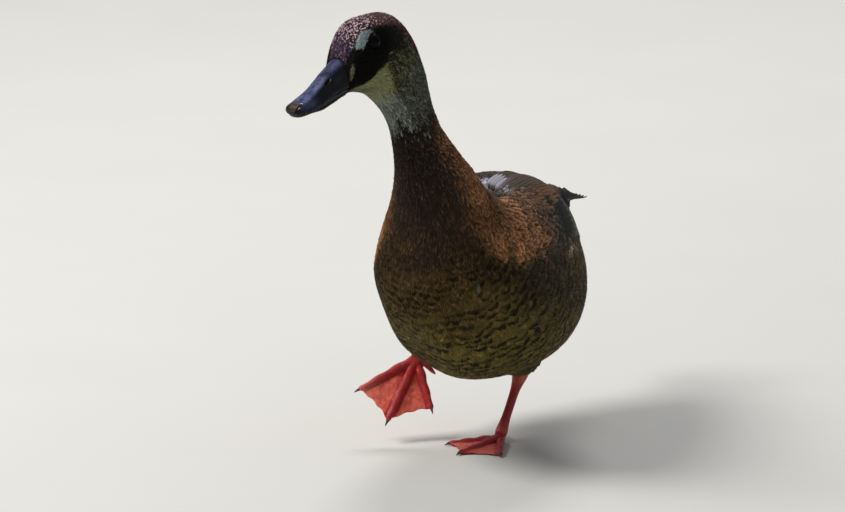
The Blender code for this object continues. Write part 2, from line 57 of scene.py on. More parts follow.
SECTIONS = {
    "vent": (112, 109, 107, 96, 11.0, 0.00, 2.0),
    "rump": (96, 118.5, 92, 77, 21.5, 0.06, 2.0),
    "hip": (73, 130, 68, 56, 34.0, 0.18, 2.02),
    "loin": (44, 140, 39, 43, 43.8, 0.19, 2.05),
    "mid_back": (12, 145, 5, 38.5, 47.0, 0.17, 2.08),
    "back": (-18, 147.5, -33, 43, 46.3, 0.10, 2.08),
    "shoulder": (-38, 150.5, -63, 59, 42.2, 0.01, 2.05),
    "mantle": (-48, 155.5, -84, 85, 36.0, -0.02, 2.0),
    "neck_base": (-55, 163, -93, 112, 28.4, 0.00, 2.0),
    "lower_neck": (-61, 173, -96, 140, 21.4, 0.00, 2.0),
    "neck": (-67, 186, -97, 162, 14.9, 0.00, 2.0),
    "upper_neck": (-70, 200, -96, 182, 12.4, 0.00, 2.0),
    "throat": (-69, 215, -97.5, 197, 13.4, 0.02, 2.0),
    "nape": (-71.5, 232, -104, 206.5, 14.6, 0.04, 2.0),
    "crown": (-84.5, 247, -109.5, 210.5, 15.6, 0.06, 2.05),
    "forecrown": (-99.5, 251.5, -115.5, 212, 15.4, 0.06, 2.05),
    "brow": (-115, 250.5, -120.5, 212.5, 13.2, 0.03, 2.0),
    "forehead": (-123.5, 242.0, -124.5, 212, 10.6, 0.00, 2.0),
    "bill_base": (-128, 231.0, -127, 211.5, 8.6, -0.02, 2.1),
}
ORDER = list(SECTIONS)
HEAD_TURN = math.radians(26)
BODY_ROLL = math.radians(7)
NECK_LEAN = math.radians(20)
TURN_FROM, TURN_TO = "neck_base", "nape"
ROLL_TO = "neck_base"
LEAN_FROM, LEAN_TO = "neck_base", "forecrown"


def at(name):
    return float(ORDER.index(name))


def smooth(x):
    x = np.clip(x, 0.0, 1.0)
    return x * x * (3 - 2 * x)


def step(x, a, b):
    """0 below a, 1 above b, smooth between. a may be the larger."""
    return smooth((np.asarray(x, float) - a) / (b - a))


class Spline:
    """A natural cubic spline through knots at xs, for any number of columns."""

    def __init__(self, xs, rows):
        self.x = np.asarray(xs, float)
        self.y = np.asarray(rows, float).reshape(len(self.x), -1)
        n = len(self.x)
        h = np.diff(self.x)
        a = np.eye(n)
        b = np.zeros_like(self.y)
        for i in range(1, n - 1):
            a[i, i - 1 : i + 2] = h[i - 1], 2 * (h[i - 1] + h[i]), h[i]
            b[i] = 6 * ((self.y[i + 1] - self.y[i]) / h[i] - (self.y[i] - self.y[i - 1]) / h[i - 1])
        self.m = np.linalg.solve(a, b)

    def __call__(self, x):
        x = np.atleast_1d(np.asarray(x, float))
        i = np.clip(np.searchsorted(self.x, x) - 1, 0, len(self.x) - 2)
        h = (self.x[i + 1] - self.x[i])[:, None]
        l = (self.x[i + 1] - x)[:, None]
        r = (x - self.x[i])[:, None]
        return (
            self.m[i] * l**3 / (6 * h)
            + self.m[i + 1] * r**3 / (6 * h)
            + (self.y[i] / h - self.m[i] * h / 6) * l
            + (self.y[i + 1] / h - self.m[i + 1] * h / 6) * r
        )


BODY = Spline(range(len(ORDER)), [SECTIONS[n] for n in ORDER])


def turn_at(t):
    return HEAD_TURN * smooth((t - at(TURN_FROM)) / (at(TURN_TO) - at(TURN_FROM)))


def lean_at(t):
    roll = 1 - smooth((t - 4.5) / (at(ROLL_TO) + 0.5 - 4.5))
    x = np.clip((t - at(LEAN_FROM)) / (at(LEAN_TO) - at(LEAN_FROM)), 0, 1)
    return BODY_ROLL * roll + NECK_LEAN * np.sin(np.pi * x)


def rotations(t):
    """One 3x3 matrix for each t: lean about the forward axis, then turn about the vertical one."""
    t = np.atleast_1d(t)
    lean, turn = lean_at(t), -turn_at(t)
    o, l = np.zeros_like(t), np.ones_like(t)
    c, s = np.cos(lean), np.sin(lean)
    roll = np.stack([np.stack([c, o, -s], 1), np.stack([o, l, o], 1), np.stack([s, o, c], 1)], 1)
    c, s = np.cos(turn), np.sin(turn)
    yaw = np.stack([np.stack([c, -s, o], 1), np.stack([s, c, o], 1), np.stack([o, o, l], 1)], 1)
    return yaw @ roll


def middles(t):
    row = BODY(t)
    return np.stack([0 * row[:, 0], (row[:, 0] + row[:, 2]) / 2, (row[:, 1] + row[:, 3]) / 2], 1)


BENT_T = np.linspace(0, len(ORDER) - 1, (len(ORDER) - 1) * 30 + 1)


def bend():
    mid = middles(BENT_T)
    r = rotations((BENT_T[1:] + BENT_T[:-1]) / 2)
    steps = np.einsum("nij,nj->ni", r, np.diff(mid, axis=0))
    return np.vstack([mid[:1], mid[0] + np.cumsum(steps, axis=0)])


BENT = bend()


def posed(t, p):
    """Points p (n, ..., 3) of the unbent frame, each carried by the section at its t (n). In mm, before the model's shift."""
    t = np.atleast_1d(np.asarray(t, float))
    here = np.stack([np.interp(t, BENT_T, BENT[:, k]) for k in range(3)], 1)
    r, m = rotations(t), middles(t)
    shape = (len(t),) + (1,) * (p.ndim - 2) + (3,)
    return np.einsum("nij,n...j->n...i", r, p - m.reshape(shape)) + here.reshape(shape)


TAIL_L = 53.0
TAIL = Spline(
    [0, 8, 18, 28, 38, 45, 50, 53],
    [
        (102.5, 10.8, 6.2),
        (103.0, 11.8, 5.2),
        (104.0, 12.8, 3.8),
        (105.2, 13.0, 2.6),
        (106.2, 11.8, 1.8),
        (106.8, 9.2, 1.3),
        (107.2, 5.6, 1.0),
        (107.4, 2.0, 0.7),
    ],
)
TAIL_FAN = 1.4
TAIL_STEP = 26.0  # mm of tail for one unit of t below 0


def flat_rings(t, angles):
    """(n, m, 3) unbent section points. Below t = 0 they run on round the root of the tail."""
    t = np.asarray(t, float)
    dy, dz, vy, vz, w, k, e = BODY(np.clip(t, 0, None)).T
    c, s = np.cos(angles)[None], np.sin(angles)[None]
    a = np.sign(c) * np.abs(c) ** (2 / e[:, None])
    b = np.sign(s) * np.abs(s) ** (2 / e[:, None])
    ring = np.stack(
        [
            w[:, None] * a * (1 - k[:, None] * b),
            ((dy + vy) / 2)[:, None] + ((dy - vy) / 2)[:, None] * b,
            ((dz + vz) / 2)[:, None] + ((dz - vz) / 2)[:, None] * b,
        ],
        2,
    )
    x = np.clip(-t, 0, None) * TAIL_STEP
    z, tw, th = TAIL(x).T
    lean = (1 - smooth(x / 12)) * (112 - 107) / (109 - 96)
    tail = np.stack(
        [
            tw[:, None] * c + 0 * a,
            109.5 + x[:, None] + (lean * th)[:, None] * s,
            z[:, None] + th[:, None] * s - (TAIL_FAN * smooth(x / 30) * np.minimum(1.0, tw / 13.0))[:, None] * c * c,
        ],
        2,
    )
    mix = smooth(-t / 0.25)[:, None, None]
    return ring * (1 - mix) + tail * mix


# ---------------------------------------------------------------- eyes' place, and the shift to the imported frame

EYE_R, EYE_T, EYE_UP, EYE_DEEP = 4.3, 15.6, 26.0, 2.55


def eye_design(side):
    angle = math.radians(EYE_UP if side > 0 else 180 - EYE_UP)
    ring = flat_rings([EYE_T], np.array([angle]))[0, 0]
    inward = middles(EYE_T)[0] - ring
    inward[1] *= 0.2
    inward /= np.linalg.norm(inward)
    return posed(EYE_T, (ring + inward * EYE_DEEP)[None])[0], angle


def box_middle(node):
    low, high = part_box(node)
    return (np.array(low) + np.array(high)) / 2 / MM


SHIFT = box_middle("eye_left") - eye_design(1)[0]

# ---------------------------------------------------------------- surfaces as tables


class Surface:
    """A table of points over t (rows) and angle (columns, all the way round), with normals pointing out."""

    def __init__(self, t, points):
        self.t0, self.dt, self.nt = t[0], t[1] - t[0], len(t)
        self.t = t
        self.na = points.shape[1]
        self.p = points
        pt = np.gradient(points, self.dt, axis=0)
        wrap = np.concatenate([points[:, -1:], points, points[:, :1]], 1)
        pa = (wrap[:, 2:] - wrap[:, :-2]) / (2 * 2 * np.pi / self.na)
        n = np.cross(pa, pt)
        n /= np.linalg.norm(n, axis=2)[..., None] + 1e-12
        mid = points.mean(1, keepdims=True)
        if np.median(((points - mid) * n).sum(2)) < 0:
            n = -n
        self.pt, self.pa, self.n = pt, pa, n
        self.all = np.concatenate([points, n, pt, pa], 2)

    def look(self, t, a, width=12):
        """Bilinear values (position, normal, d/dt, d/dangle) at t and angle in radians."""
        t, a = np.broadcast_arrays(np.asarray(t, float), np.asarray(a, float))
        shape = t.shape
        x = np.clip((t.ravel() - self.t0) / self.dt, 0, self.nt - 1.001)
        y = np.mod(a.ravel() / (2 * np.pi) * self.na, self.na)
        i, j = x.astype(int), np.minimum(y.astype(int), self.na - 1)
        fx, fy = (x - i)[:, None], (y - j)[:, None]
        j2 = (j + 1) % self.na
        tab = self.all[:, :, :width]
        v = (tab[i, j] * (1 - fx) + tab[i + 1, j] * fx) * (1 - fy) + (tab[i, j2] * (1 - fx) + tab[i + 1, j2] * fx) * fy
        return v.reshape(shape + (width,))


ANGLES = np.arange(720) / 720 * 2 * np.pi
T_LOW, T_TOP = -1.0, 18.0
TABLE_T = np.linspace(T_LOW, T_TOP, int((T_TOP - T_LOW) * 50) + 1)
BODY_POINTS = posed(np.clip(TABLE_T, 0, None), flat_rings(TABLE_T, ANGLES)) + SHIFT


def puffed(surface):
    """The surface with the coat's small swells: fuller at the throat's right side and the left flank, flatter at the nape."""
    t = surface.t[:, None]
    n = surface.n
    across = n[..., 0] * math.cos(math.radians(17)) + n[..., 1] * math.sin(math.radians(17))
    right = np.clip(-across, 0, 1) ** 1.5
    left = np.clip(across, 0, 1) ** 1.5
    phi = np.degrees(np.arctan2(np.sin(ANGLES), np.cos(ANGLES)))[None]
    swell = np.interp(t, [7.4, 8.2, 8.8, 9.6, 10.2, 10.8, 11.4, 12.0], [0, -0.5, 0.1, 1.0, 1.4, 1.0, 0.2, 0]) * right
    swell = swell + np.interp(t, [8.7, 9.0, 10.2, 10.6, 11.2, 12.0, 12.6, 14.2, 15.2], [0, -1.1, -1.2, -0.5, -0.3, -0.5, -1.2, -1.2, 0]) * left
    bump = lambda t0, phi0, dt, dphi: np.exp(-(((t - t0) / dt) ** 2) - ((phi - phi0) / dphi) ** 2)
    low = bump(4.2, -42, 1.4, 22)
    back_phi = np.where(phi > 90, 180 - phi, np.where(phi < -90, -180 - phi, phi))
    on_right = step(-across, -0.15, 0.45)
    dent = lambda t0, phi0, dt, dphi: np.exp(-(((t - t0) / dt) ** 2) - ((back_phi - phi0) / dphi) ** 2) * on_right
    swell = swell - 4.0 * dent(7.0, 26, 0.75, 17) - 1.5 * dent(5.6, -22, 0.8, 16) - 4.2 * dent(5.8, -60, 0.9, 19)
    swell = swell + 0.8 * dent(6.3, -5, 0.5, 12)
    swell = swell + np.interp(t, [14.2, 14.7, 15.1, 15.5, 16.1], [0, 0.4, 0, -0.7, 0]) * step(back_phi, 55, 85)
    swell = swell - 3.6 * step(t, 0.35, -0.35) * step(np.abs(back_phi), 50, 20)
    top = step(back_phi, 25, 60)
    brow = np.interp(t, [15.4, 16.2, 17.0, 17.4, 17.9], [0.0, 0.5, 0.2, -0.2, 0.0]) * right * top
    nape = np.interp(t, [12.8, 13.6, 14.3, 15.0, 15.6], [0.0, 1.2, 2.2, 1.6, 0.0]) * left * top
    return surface.p + n * (swell + 2.0 * low + brow + nape)[..., None]


LOFT = Surface(TABLE_T, puffed(Surface(TABLE_T, BODY_POINTS)))

# ---------------------------------------------------------------- the folded wing

WING_ON = (6.45, 5.8, 5.0, 4.0, 3.0, 2.0, 1.35)
WING_TIP = ((100, 110, 1.0, 11.0, 20.0), (115, 110.5, 0.5, 6.5, 14.0), (128, 111, 0.2, 4.0, 9.0), (138, 111.5, 0.1, 2.4, 5.0))
WING_EDGES = (
    (24, 42, 0.5),
    (18, 54, 1.6),
    (15, 61, 2.4),
    (12, 66, 2.8),
    (10, 69, 3.0),
    (8, 72, 2.8),
    (4, 74, 2.4),
    (0, 74, 1.8),
    (2, 72, 1.2),
    (6, 66, 0.8),
    (12, 58, 0.5),
)
WING_N = len(WING_ON) + len(WING_TIP)


def wing_stations():
    rows = []
    for t in WING_ON:
        dy, dz, vy, vz, w, k = BODY(t)[0][:6]
        rows.append([t, (dy + vy) / 2, (dz + vz) / 2, (dy - vy) / 2, (dz - vz) / 2, w, k])
    rows += [[0.9 - 0.3 * i, *r, 0.06] for i, r in enumerate(WING_TIP)]
    return Spline(range(len(rows)), [r + list(e) for r, e in zip(rows, WING_EDGES)])


WING = wing_stations()


def wing_point(u, v, depth, side):
    """u from the wrist (0) to the tip (1), v from the lower edge to the upper one, depth out of the trunk's surface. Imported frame, mm."""
    u, v, depth = np.broadcast_arrays(np.asarray(u, float), np.asarray(v, float), np.asarray(depth, float))
    shape = u.shape
    u, v, depth = u.ravel(), v.ravel(), depth.ravel()
    t, my, mz, uy, uz, w, k, low, high, swell = WING(np.clip(u, -0.05, 1.03) * (WING_N - 1)).T
    angle = np.radians(low + (high - low) * v)
    c, s = np.cos(angle), np.sin(angle)
    p = np.stack([w * c * (1 - k * s), my + uy * s, mz + uz * s], 1)
    n = np.stack([c * uz, 0 * c, s * w], 1)
    n /= np.linalg.norm(n, axis=1)[:, None]
    p = p + n * (swell * np.sin(np.pi * np.clip(v, 0, 1)) ** 0.6 + depth)[:, None]
    p[:, 0] *= side
    return (posed(np.clip(t, 0, None), p) + SHIFT).reshape(shape + (3,))


def wing_height_table():
    """How far the folded wing lifts what lies on it above the trunk, as a table over t and angle like LOFT's."""
    x = np.linspace(0, 6, 601)
    row = WING(x)
    t = np.clip(TABLE_T, 1.0, 6.45)
    low, high, swell = (np.interp(t, row[::-1, 0], row[::-1, k]) for k in (7, 8, 9))
    deg = np.degrees(np.arctan2(np.sin(ANGLES), np.abs(np.cos(ANGLES))))[None]
    v = (deg - low[:, None]) / (high - low)[:, None]
    lens = (swell[:, None] * np.sin(np.pi * np.clip(v, 0, 1)) ** 0.6 + 0.9) * ((v > 0) & (v < 1))
    lens *= (step(TABLE_T, 6.75, 6.2) * step(TABLE_T, 0.6, 1.6))[:, None]
    for axis, size in ((1, 9), (0, 9)):
        for _ in range(2):
            kernel = np.ones(size) / size
            pad = size // 2
            if axis == 1:
                wide = np.concatenate([lens[:, -pad:], lens, lens[:, :pad]], 1)
                lens = np.apply_along_axis(lambda r: np.convolve(r, kernel, "valid"), 1, wide)
            else:
                tall = np.concatenate([lens[:1]] * pad + [lens] + [lens[-1:]] * pad, 0)
                lens = np.apply_along_axis(lambda r: np.convolve(r, kernel, "valid"), 0, tall)
    return lens


RISE = wing_height_table()


def rise(t, a):
    x = np.clip((np.asarray(t) - T_LOW) / LOFT.dt, 0, LOFT.nt - 1).astype(int)
    y = np.mod(np.round(np.asarray(a) / (2 * np.pi) * 720), 720).astype(int)
    return RISE[x, y]


# ---------------------------------------------------------------- rows of feathers on the body

PITCH = Spline(
    [-1, 0, 1, 2, 3, 5, 6, 7, 8, 9, 10, 11, 12, 13, 14, 15, 16, 17, 18],
    [(4.8,), (4.8,), (5.6,), (6.4,), (6.8,), (6.9,), (6.6,), (5.9,), (4.9,), (3.9,), (3.1,), (2.4,), (1.95,), (1.65,), (1.45,), (1.25,), (1.1,), (1.0,), (0.9,)],
)


def pitch_at(t, a):
    """Distance between rows of feathers, in mm."""
    p = PITCH(np.asarray(t, float).ravel())[:, 0].reshape(np.shape(t))
    return np.maximum(p, 0.7)


def row_table():
    """Number of feather rows between the bill and each point of the table, along its own meridian."""
    t = LOFT.t[::-1]
    pit = pitch_at(t, 0 * t)[:, None]
    seg = np.linalg.norm(np.diff(LOFT.p[::-1], axis=0), axis=2) / ((pit[1:] + pit[:-1]) / 2)
    return np.vstack([np.zeros((1, LOFT.na)), np.cumsum(seg, axis=0)])


RUN = row_table()


def rows_at(t, a):
    x = np.clip((T_TOP - np.asarray(t, float)) / LOFT.dt, 0, LOFT.nt - 1.001)
    y = np.mod(np.asarray(a) / (2 * np.pi) * LOFT.na, LOFT.na)
    i, j = x.astype(int), np.minimum(y.astype(int), LOFT.na - 1)
    fx, fy = x - i, y - j
    k = (j + 1) % LOFT.na
    return (RUN[i, j] * (1 - fx) + RUN[i + 1, j] * fx) * (1 - fy) + (RUN[i, k] * (1 - fx) + RUN[i + 1, k] * fx) * fy


def column_table():
    """Share of the way round each ring of the table, starting at the back."""
    seg = np.linalg.norm(np.roll(LOFT.p, -1, axis=1) - LOFT.p, axis=2)
    seg = np.roll(seg, -180, axis=1)
    run = np.concatenate([np.zeros((LOFT.nt, 1)), np.cumsum(seg, axis=1)], 1)
    return run / run[:, -1:]


ROUND = column_table()
BAR_PITCH = 4.3  # mm between the belly's dark bars
BAR_COLUMNS = 34.0  # dark crescents round the body


def columns_at(t, a):
    x = np.clip((np.asarray(t, float) - LOFT.t0) / LOFT.dt, 0, LOFT.nt - 1.001)
    y = np.mod(np.asarray(a) / (2 * np.pi) * LOFT.na - 180, LOFT.na)
    i, j = x.astype(int), np.minimum(y.astype(int), LOFT.na - 1)
    fx, fy = x - i, y - j
    return (ROUND[i, j] * (1 - fx) + ROUND[i + 1, j] * fx) * (1 - fy) + (ROUND[i, j + 1] * (1 - fx) + ROUND[i + 1, j + 1] * fx) * fy


BAR_CENTRE = LOFT.p[int((9.0 - LOFT.t0) / LOFT.dt)].mean(0) + np.array([0.0, -10.0, 5.0])


def bar_rows(p):
    """The belly's dark bars run round the foot of the neck, each a little farther from it than the last."""
    return np.linalg.norm(p - BAR_CENTRE, axis=-1) / BAR_PITCH


def bar_place(t, a, p, jog):
    """Row and column of the belly's dark crescents at (t, angle); jog moves a whole feather or barb against its neighbours."""
    row = bar_rows(p) + (noise(p, 13.0, 1) - 0.5) * 1.1 + (noise(p, 4.5, 2) - 0.5) * 0.45 + jog
    return np.stack([row, columns_at(t, a) * BAR_COLUMNS + (noise(p, 7.0, 6) - 0.5) * 0.6, 0 * row], -1)


def feather_rows(t_from, t_to, thin=1.0, width=0.92, jitter=0.07):
    """Roots of feathers in staggered rows that cross the lie of the coat, from t_from down to t_to. thin scales their spacing."""
    t = LOFT.t[::-1]
    step_a = 2
    run = RUN[:, ::step_a] / thin
    ang = ANGLES[::step_a]
    turn = np.mod(np.degrees(ang) + 90, 360)
    order = np.argsort(turn)
    ts, as_ = [], []
    low = np.array([np.interp(t_from, LOFT.t, run[::-1, j]) for j in range(len(ang))]).min()
    high = np.array([np.interp(t_to, LOFT.t, run[::-1, j]) for j in range(len(ang))]).max()
    points = LOFT.p[:, ::step_a]
    for k in range(int(low), int(high) + 1):
        tk = np.array([np.interp(k + 0.5, run[:, j], t, left=99, right=-99) for j in range(len(ang))])
        if not ((tk <= t_from) & (tk >= t_to)).any():
            continue
        x = np.clip((np.clip(tk, T_LOW, T_TOP) - LOFT.t0) / LOFT.dt, 0, LOFT.nt - 1.001)
        i = x.astype(int)
        f = (x - i)[:, None]
        cols = np.arange(len(ang))
        q = (points[i, cols] * (1 - f) + points[i + 1, cols] * f)[order]
        tk_o = tk[order]
        at_turn = turn[order]
        pk = pitch_at(np.clip(tk_o, T_LOW, T_TOP), tk_o) * thin * width
        half = len(order) // 2
        for sgn in (1, -1):
            idx = np.mod(sgn * np.arange(0, half + 1), len(order))
            qq = q[idx]
            dl = np.linalg.norm(np.diff(qq, axis=0), axis=1) / ((pk[idx][1:] + pk[idx][:-1]) / 2)
            c = np.concatenate([[0], np.cumsum(dl)])
            stagger = 0.5 * (k % 2)
            pos = np.arange(0, int(c[-1]) + 1) + stagger
            if sgn < 0 and stagger == 0:
                pos = pos[1:]
            pos = pos[pos <= c[-1]]
            pos = pos + RNG.normal(0, jitter, len(pos))
            away = at_turn[idx] if sgn > 0 else -np.mod(-at_turn[idx], 360)
            angle = np.interp(pos, c, np.radians(away))
            tt = np.interp(pos, c, tk_o[idx])
            ok = (tt >= t_to) & (tt <= t_from)
            ts.append(tt[ok])
            as_.append(angle[ok] - np.pi / 2)
    return np.concatenate(ts), np.mod(np.concatenate(as_), 2 * np.pi)


# ---------------------------------------------------------------- noise and colour


def hash3(i, j, k):
    n = (i * 374761393 + j * 668265263 + k * 2147483647 + 1274126177) & 0xFFFFFFFF
    n = ((n ^ (n >> 13)) * 1274126177) & 0xFFFFFFFF
    return ((n ^ (n >> 16)) & 0xFFFF) / 65535.0


def noise(p, size, seed=0):
    """Smooth value noise, 0 to 1, of points in mm at a grain of size mm."""
    q = np.asarray(p, float) / size + 100.0
    i = np.floor(q).astype(np.int64)
    f = q - i
    f = f * f * (3 - 2 * f)
    out = 0.0
    for a in (0, 1):
        for b in (0, 1):
            for c in (0, 1):
                w = (f[..., 0] if a else 1 - f[..., 0]) * (f[..., 1] if b else 1 - f[..., 1]) * (f[..., 2] if c else 1 - f[..., 2])
                out = out + w * hash3(i[..., 0] + a + seed * 131, i[..., 1] + b, i[..., 2] + c)
    return out


def rgb(r, g, b):
    """Linear colour from the 0 to 255 values a screen shows."""
    v = np.array([r, g, b], float) / 255
    return np.where(v <= 0.04045, v / 12.92, ((v + 0.055) / 1.055) ** 2.4)


def ellipse(t, phi, t0, phi0, dt, dphi, tilt=0.0, soft=0.25):
    """1 inside an ellipse on the head's own map, 0 outside. tilt is in degrees of angle for one unit of t."""
    x = (t - t0) / dt
    y = (phi - phi0 - tilt * (t - t0)) / dphi
    return step(np.sqrt(x * x + y * y), 1 + soft, 1 - soft)


COLOURS = {
    "breast": rgb(66, 50, 39),
    # breast_low, belly, flank and thigh are olive: partly the plumage's own colour, partly a painted green reflection
    "breast_low": rgb(94, 74, 40),
    "belly": rgb(120, 106, 54),
    "flank": rgb(86, 74, 38),
    "undertail": rgb(74, 54, 38),
    "rufous": rgb(170, 118, 80),
    "back": rgb(70, 58, 48),
    "rump": rgb(26, 23, 21),
    "neck": rgb(54, 44, 40),
    "neck_rufous": rgb(156, 112, 76),
    "throat": rgb(166, 174, 162),
    "wedge": rgb(166, 168, 118),
    "cheek": rgb(100, 99, 66),
    "cheek_low": rgb(104, 110, 98),
    "mask": rgb(10, 8, 5),
    "crown": rgb(64, 34, 42),
    "violet": rgb(92, 72, 98),
    "nape": rgb(84, 66, 52),
    "patch": rgb(156, 174, 178),
    "lore": rgb(134, 130, 112),
    "fleck": rgb(170, 150, 124),
    "thigh": rgb(86, 76, 44),
    "painted_sheen": rgb(196, 196, 216),
}

PATCH = ((16.38, 20), (16.84, 33), (16.88, 43), (16.25, 49), (15.74, 46), (15.58, 37))


def inside(t, phi, points, soft, t_mm=11.0, phi_mm=0.29):
    """1 inside a convex outline on the head's map, falling to 0 over soft mm at its edge."""
    x, y = t * t_mm, phi * phi_mm
    q = np.array(points, float) * (t_mm, phi_mm)
    mid = q.mean(0)
    depth = np.full(np.shape(t), 1e9)
    for a, b in zip(q, np.roll(q, -1, axis=0)):
        n = np.array([b[1] - a[1], a[0] - b[0]])
        n /= np.linalg.norm(n)
        n = n if (mid - a) @ n > 0 else -n
        depth = np.minimum(depth, (x - a[0]) * n[0] + (y - a[1]) * n[1])
    return step(depth, -soft, soft)


def rufous_share(t, phi, p):
    """Where the rufous feathers of the shoulders and breast sides are."""
    n1 = noise(p, 9.0, 1)
    low = np.interp(t, [4.6, 5.5, 6.4, 7.3, 8.3, 9.0, 10.5], [13, 9, 1, -14, -27, -29, -20])
    soft = np.interp(t, [5.0, 7.0, 8.2, 9.2], [13, 14, 22, 38])
    share = step(phi + (n1 - 0.5) * 14, low - soft * 0.7, low + soft) * step(t + (n1 - 0.5) * 0.5, 3.3, 4.0) * step(t + (n1 - 0.5) * 0.8, 11.3, 10.2)
    dome = step(phi, 50, 56) * step(t, 6.9, 5.9)
    return share * (1 - dome)


def paint(t, a, p, rnd, kind="vane"):
    """Ground colour and pattern of the plumage at (t, angle). rnd is one random number for each feather.
    Pattern: strength of the dark bar, of the dark middle and of the pale edge."""
    phi = np.degrees(np.arctan2(np.sin(a), np.abs(np.cos(a))))
    n0 = noise(p, 17.0, 4)
    n1 = noise(p, 9.0, 1)
    n2 = noise(p, 3.0, 2)
    n3 = noise(p, 1.6, 3)
    barb = kind == "barb"
    alt = np.mod(rnd * 61.7, 1.0)
    col = np.zeros(t.shape + (3,)) + COLOURS["breast"]
    bar, mid, edge = (np.zeros(t.shape) for _ in range(3))

    def lay(name, m):
        nonlocal col
        colour = COLOURS[name] if isinstance(name, str) else name
        m = np.clip(m, 0, 1)
        col = col * (1 - m[..., None]) + colour * m[..., None]

    wob = (n1 - 0.5) * 1.1
    # breast, getting paler and more olive towards the belly
    lay("breast_low", step(t + wob, 8.5, 7.5))
    belly = step(t + wob * 0.9, 7.4, 6.0)
    lay("belly", belly)
    side = step(phi, -50, -8)
    lay("flank", belly * side)
    lay("undertail", step(t, 1.0, 0.2) * step(phi, -75, -55))
    bar = step(t + wob, 8.9, 7.2) * (0.52 + 0.58 * step(n1 * 0.7 + n2 * 0.3, 0.30, 0.50)) * step(t, -0.6, 0.2) * 1.1
    mid = 0.45 * step(t, 10.5, 9.0) * (1 - belly)
    edge = 0.50 * step(t, 10.5, 9.0) * (1 - 0.5 * belly) * (0.5 + n2)
    # sides of the breast, shoulders and folded wing's front: rufous with dark middles
    ruf = rufous_share(t, phi, p)
    ruf = ruf * (alt < 0.15 + 1.1 * ruf)
    rear = step(t, 4.9, 4.1) * step(phi, 6, 14)
    lay("rufous", ruf * (0.80 + 0.3 * n2))
    low_edge = np.interp(t, [4.6, 5.5, 6.4, 7.3, 8.3, 9.0, 10.5], [13, 9, 1, -14, -27, -29, -20])
    # painted light and shade on the rufous feathers: the lowest rows brighter, the duck's right side brighter from t 6
    # to 8 and darker beyond t 8
    lit_band = step(phi - low_edge, 34, 8) * step(t, 4.5, 5.2) * step(t, 8.2, 7.2)
    painted_far_side_shade = step(t, 7.7, 8.4) * (np.cos(a) < 0)
    outer = (np.cos(a) < 0) * step(t, 6.0, 6.5) * step(t, 8.2, 7.7)
    tone = np.clip(0.62 + 0.50 * lit_band + 0.7 * outer + 0.7 * (n0 - 0.5) + 0.6 * (n1 - 0.5) - 0.25 * painted_far_side_shade, 0.30, 1.30)
    tone = tone * (0.55 + 0.45 * step(t, 4.3, 5.5))
    col = col * (1 - ruf * (1 - tone))[..., None]
    under = step(low_edge - phi, 34, 8) * step(phi - low_edge, 6, -6) * step(t, 3.6, 4.6) * step(t, 8.6, 7.8)
    lay(rgb(50, 38, 22), 0.72 * under * (1 - ruf))
    bar *= 1 - ruf
    mid = np.maximum(mid * (1 - ruf), (0.34 + 0.46 * alt) * ruf)
    edge = np.maximum(edge * (1 - ruf), ruf * (0.10 + 0.42 * np.mod(rnd * 17.3, 1)))
    # back and rump
    back = step(phi + (n2 - 0.5) * 5, 50, 56) * step(t, 6.9, 5.9)
    mantle = step(phi, 62, 80) * step(t, 8.2, 7.2)
    back = np.maximum(back, mantle * 0.8)
    lay("back", np.maximum(back, 0.75 * rear))
    bar *= 1 - np.maximum(back, rear)
    mid = np.where(back > 0.5, 0.3, mid)
    edge = np.where(back > 0.5, 0.2, edge)
    rump = step(t, 2.2, 1.2) * step(phi, 20, 40)
    lay("rump", rump)
    edge *= 1 - rump
    lay(rgb(206, 172, 156), 0.8 * ellipse(t, phi, 3.62, 7.5, 0.26, 3.2, 0, 0.5) * (alt < 0.75))
    # painted highlight: a blue-white sheen painted on feathers at the top of the shoulders, with a few dark blue-grey
    # feathers among them
    shoulder = ellipse(t, phi, 5.05, 70, 0.75, 14, 0, 0.3)
    lay("painted_sheen", shoulder * (alt < 0.62))
    lay(rgb(52, 50, 76), shoulder * (alt > 0.80))
    # neck: dark in front, rufous behind and at the sides
    neck = step(t + wob * 0.5, 8.6, 9.6)
    lay("neck", neck * (1 - ruf))
    mid = mid * (1 - neck) + 0.25 * neck
    hind = neck * ruf
    hind_now = hind * step(n2 * 0.4 + rnd * 0.6, 0.54, 0.62)
    lay("neck", hind * 0.8)
    lay("neck_rufous", hind_now)
    mid = np.maximum(mid, hind * 0.8)
    bar *= 1 - neck
    # loose pale and dark barbs
    if barb:
        ruddy = np.maximum(ruf, hind)
        pale = ruddy * (rnd > 0.84)
        lay(rgb(196, 148, 104), pale * 0.75)
        deep = ruddy * (rnd < 0.36)
        lay(rgb(40, 26, 18), deep * 0.85)
        streak = (1 - belly) * (1 - ruddy) * (rnd > 0.86) * step(t, 11.2, 10.6)
        lay(rgb(112, 92, 70), streak * 0.55)
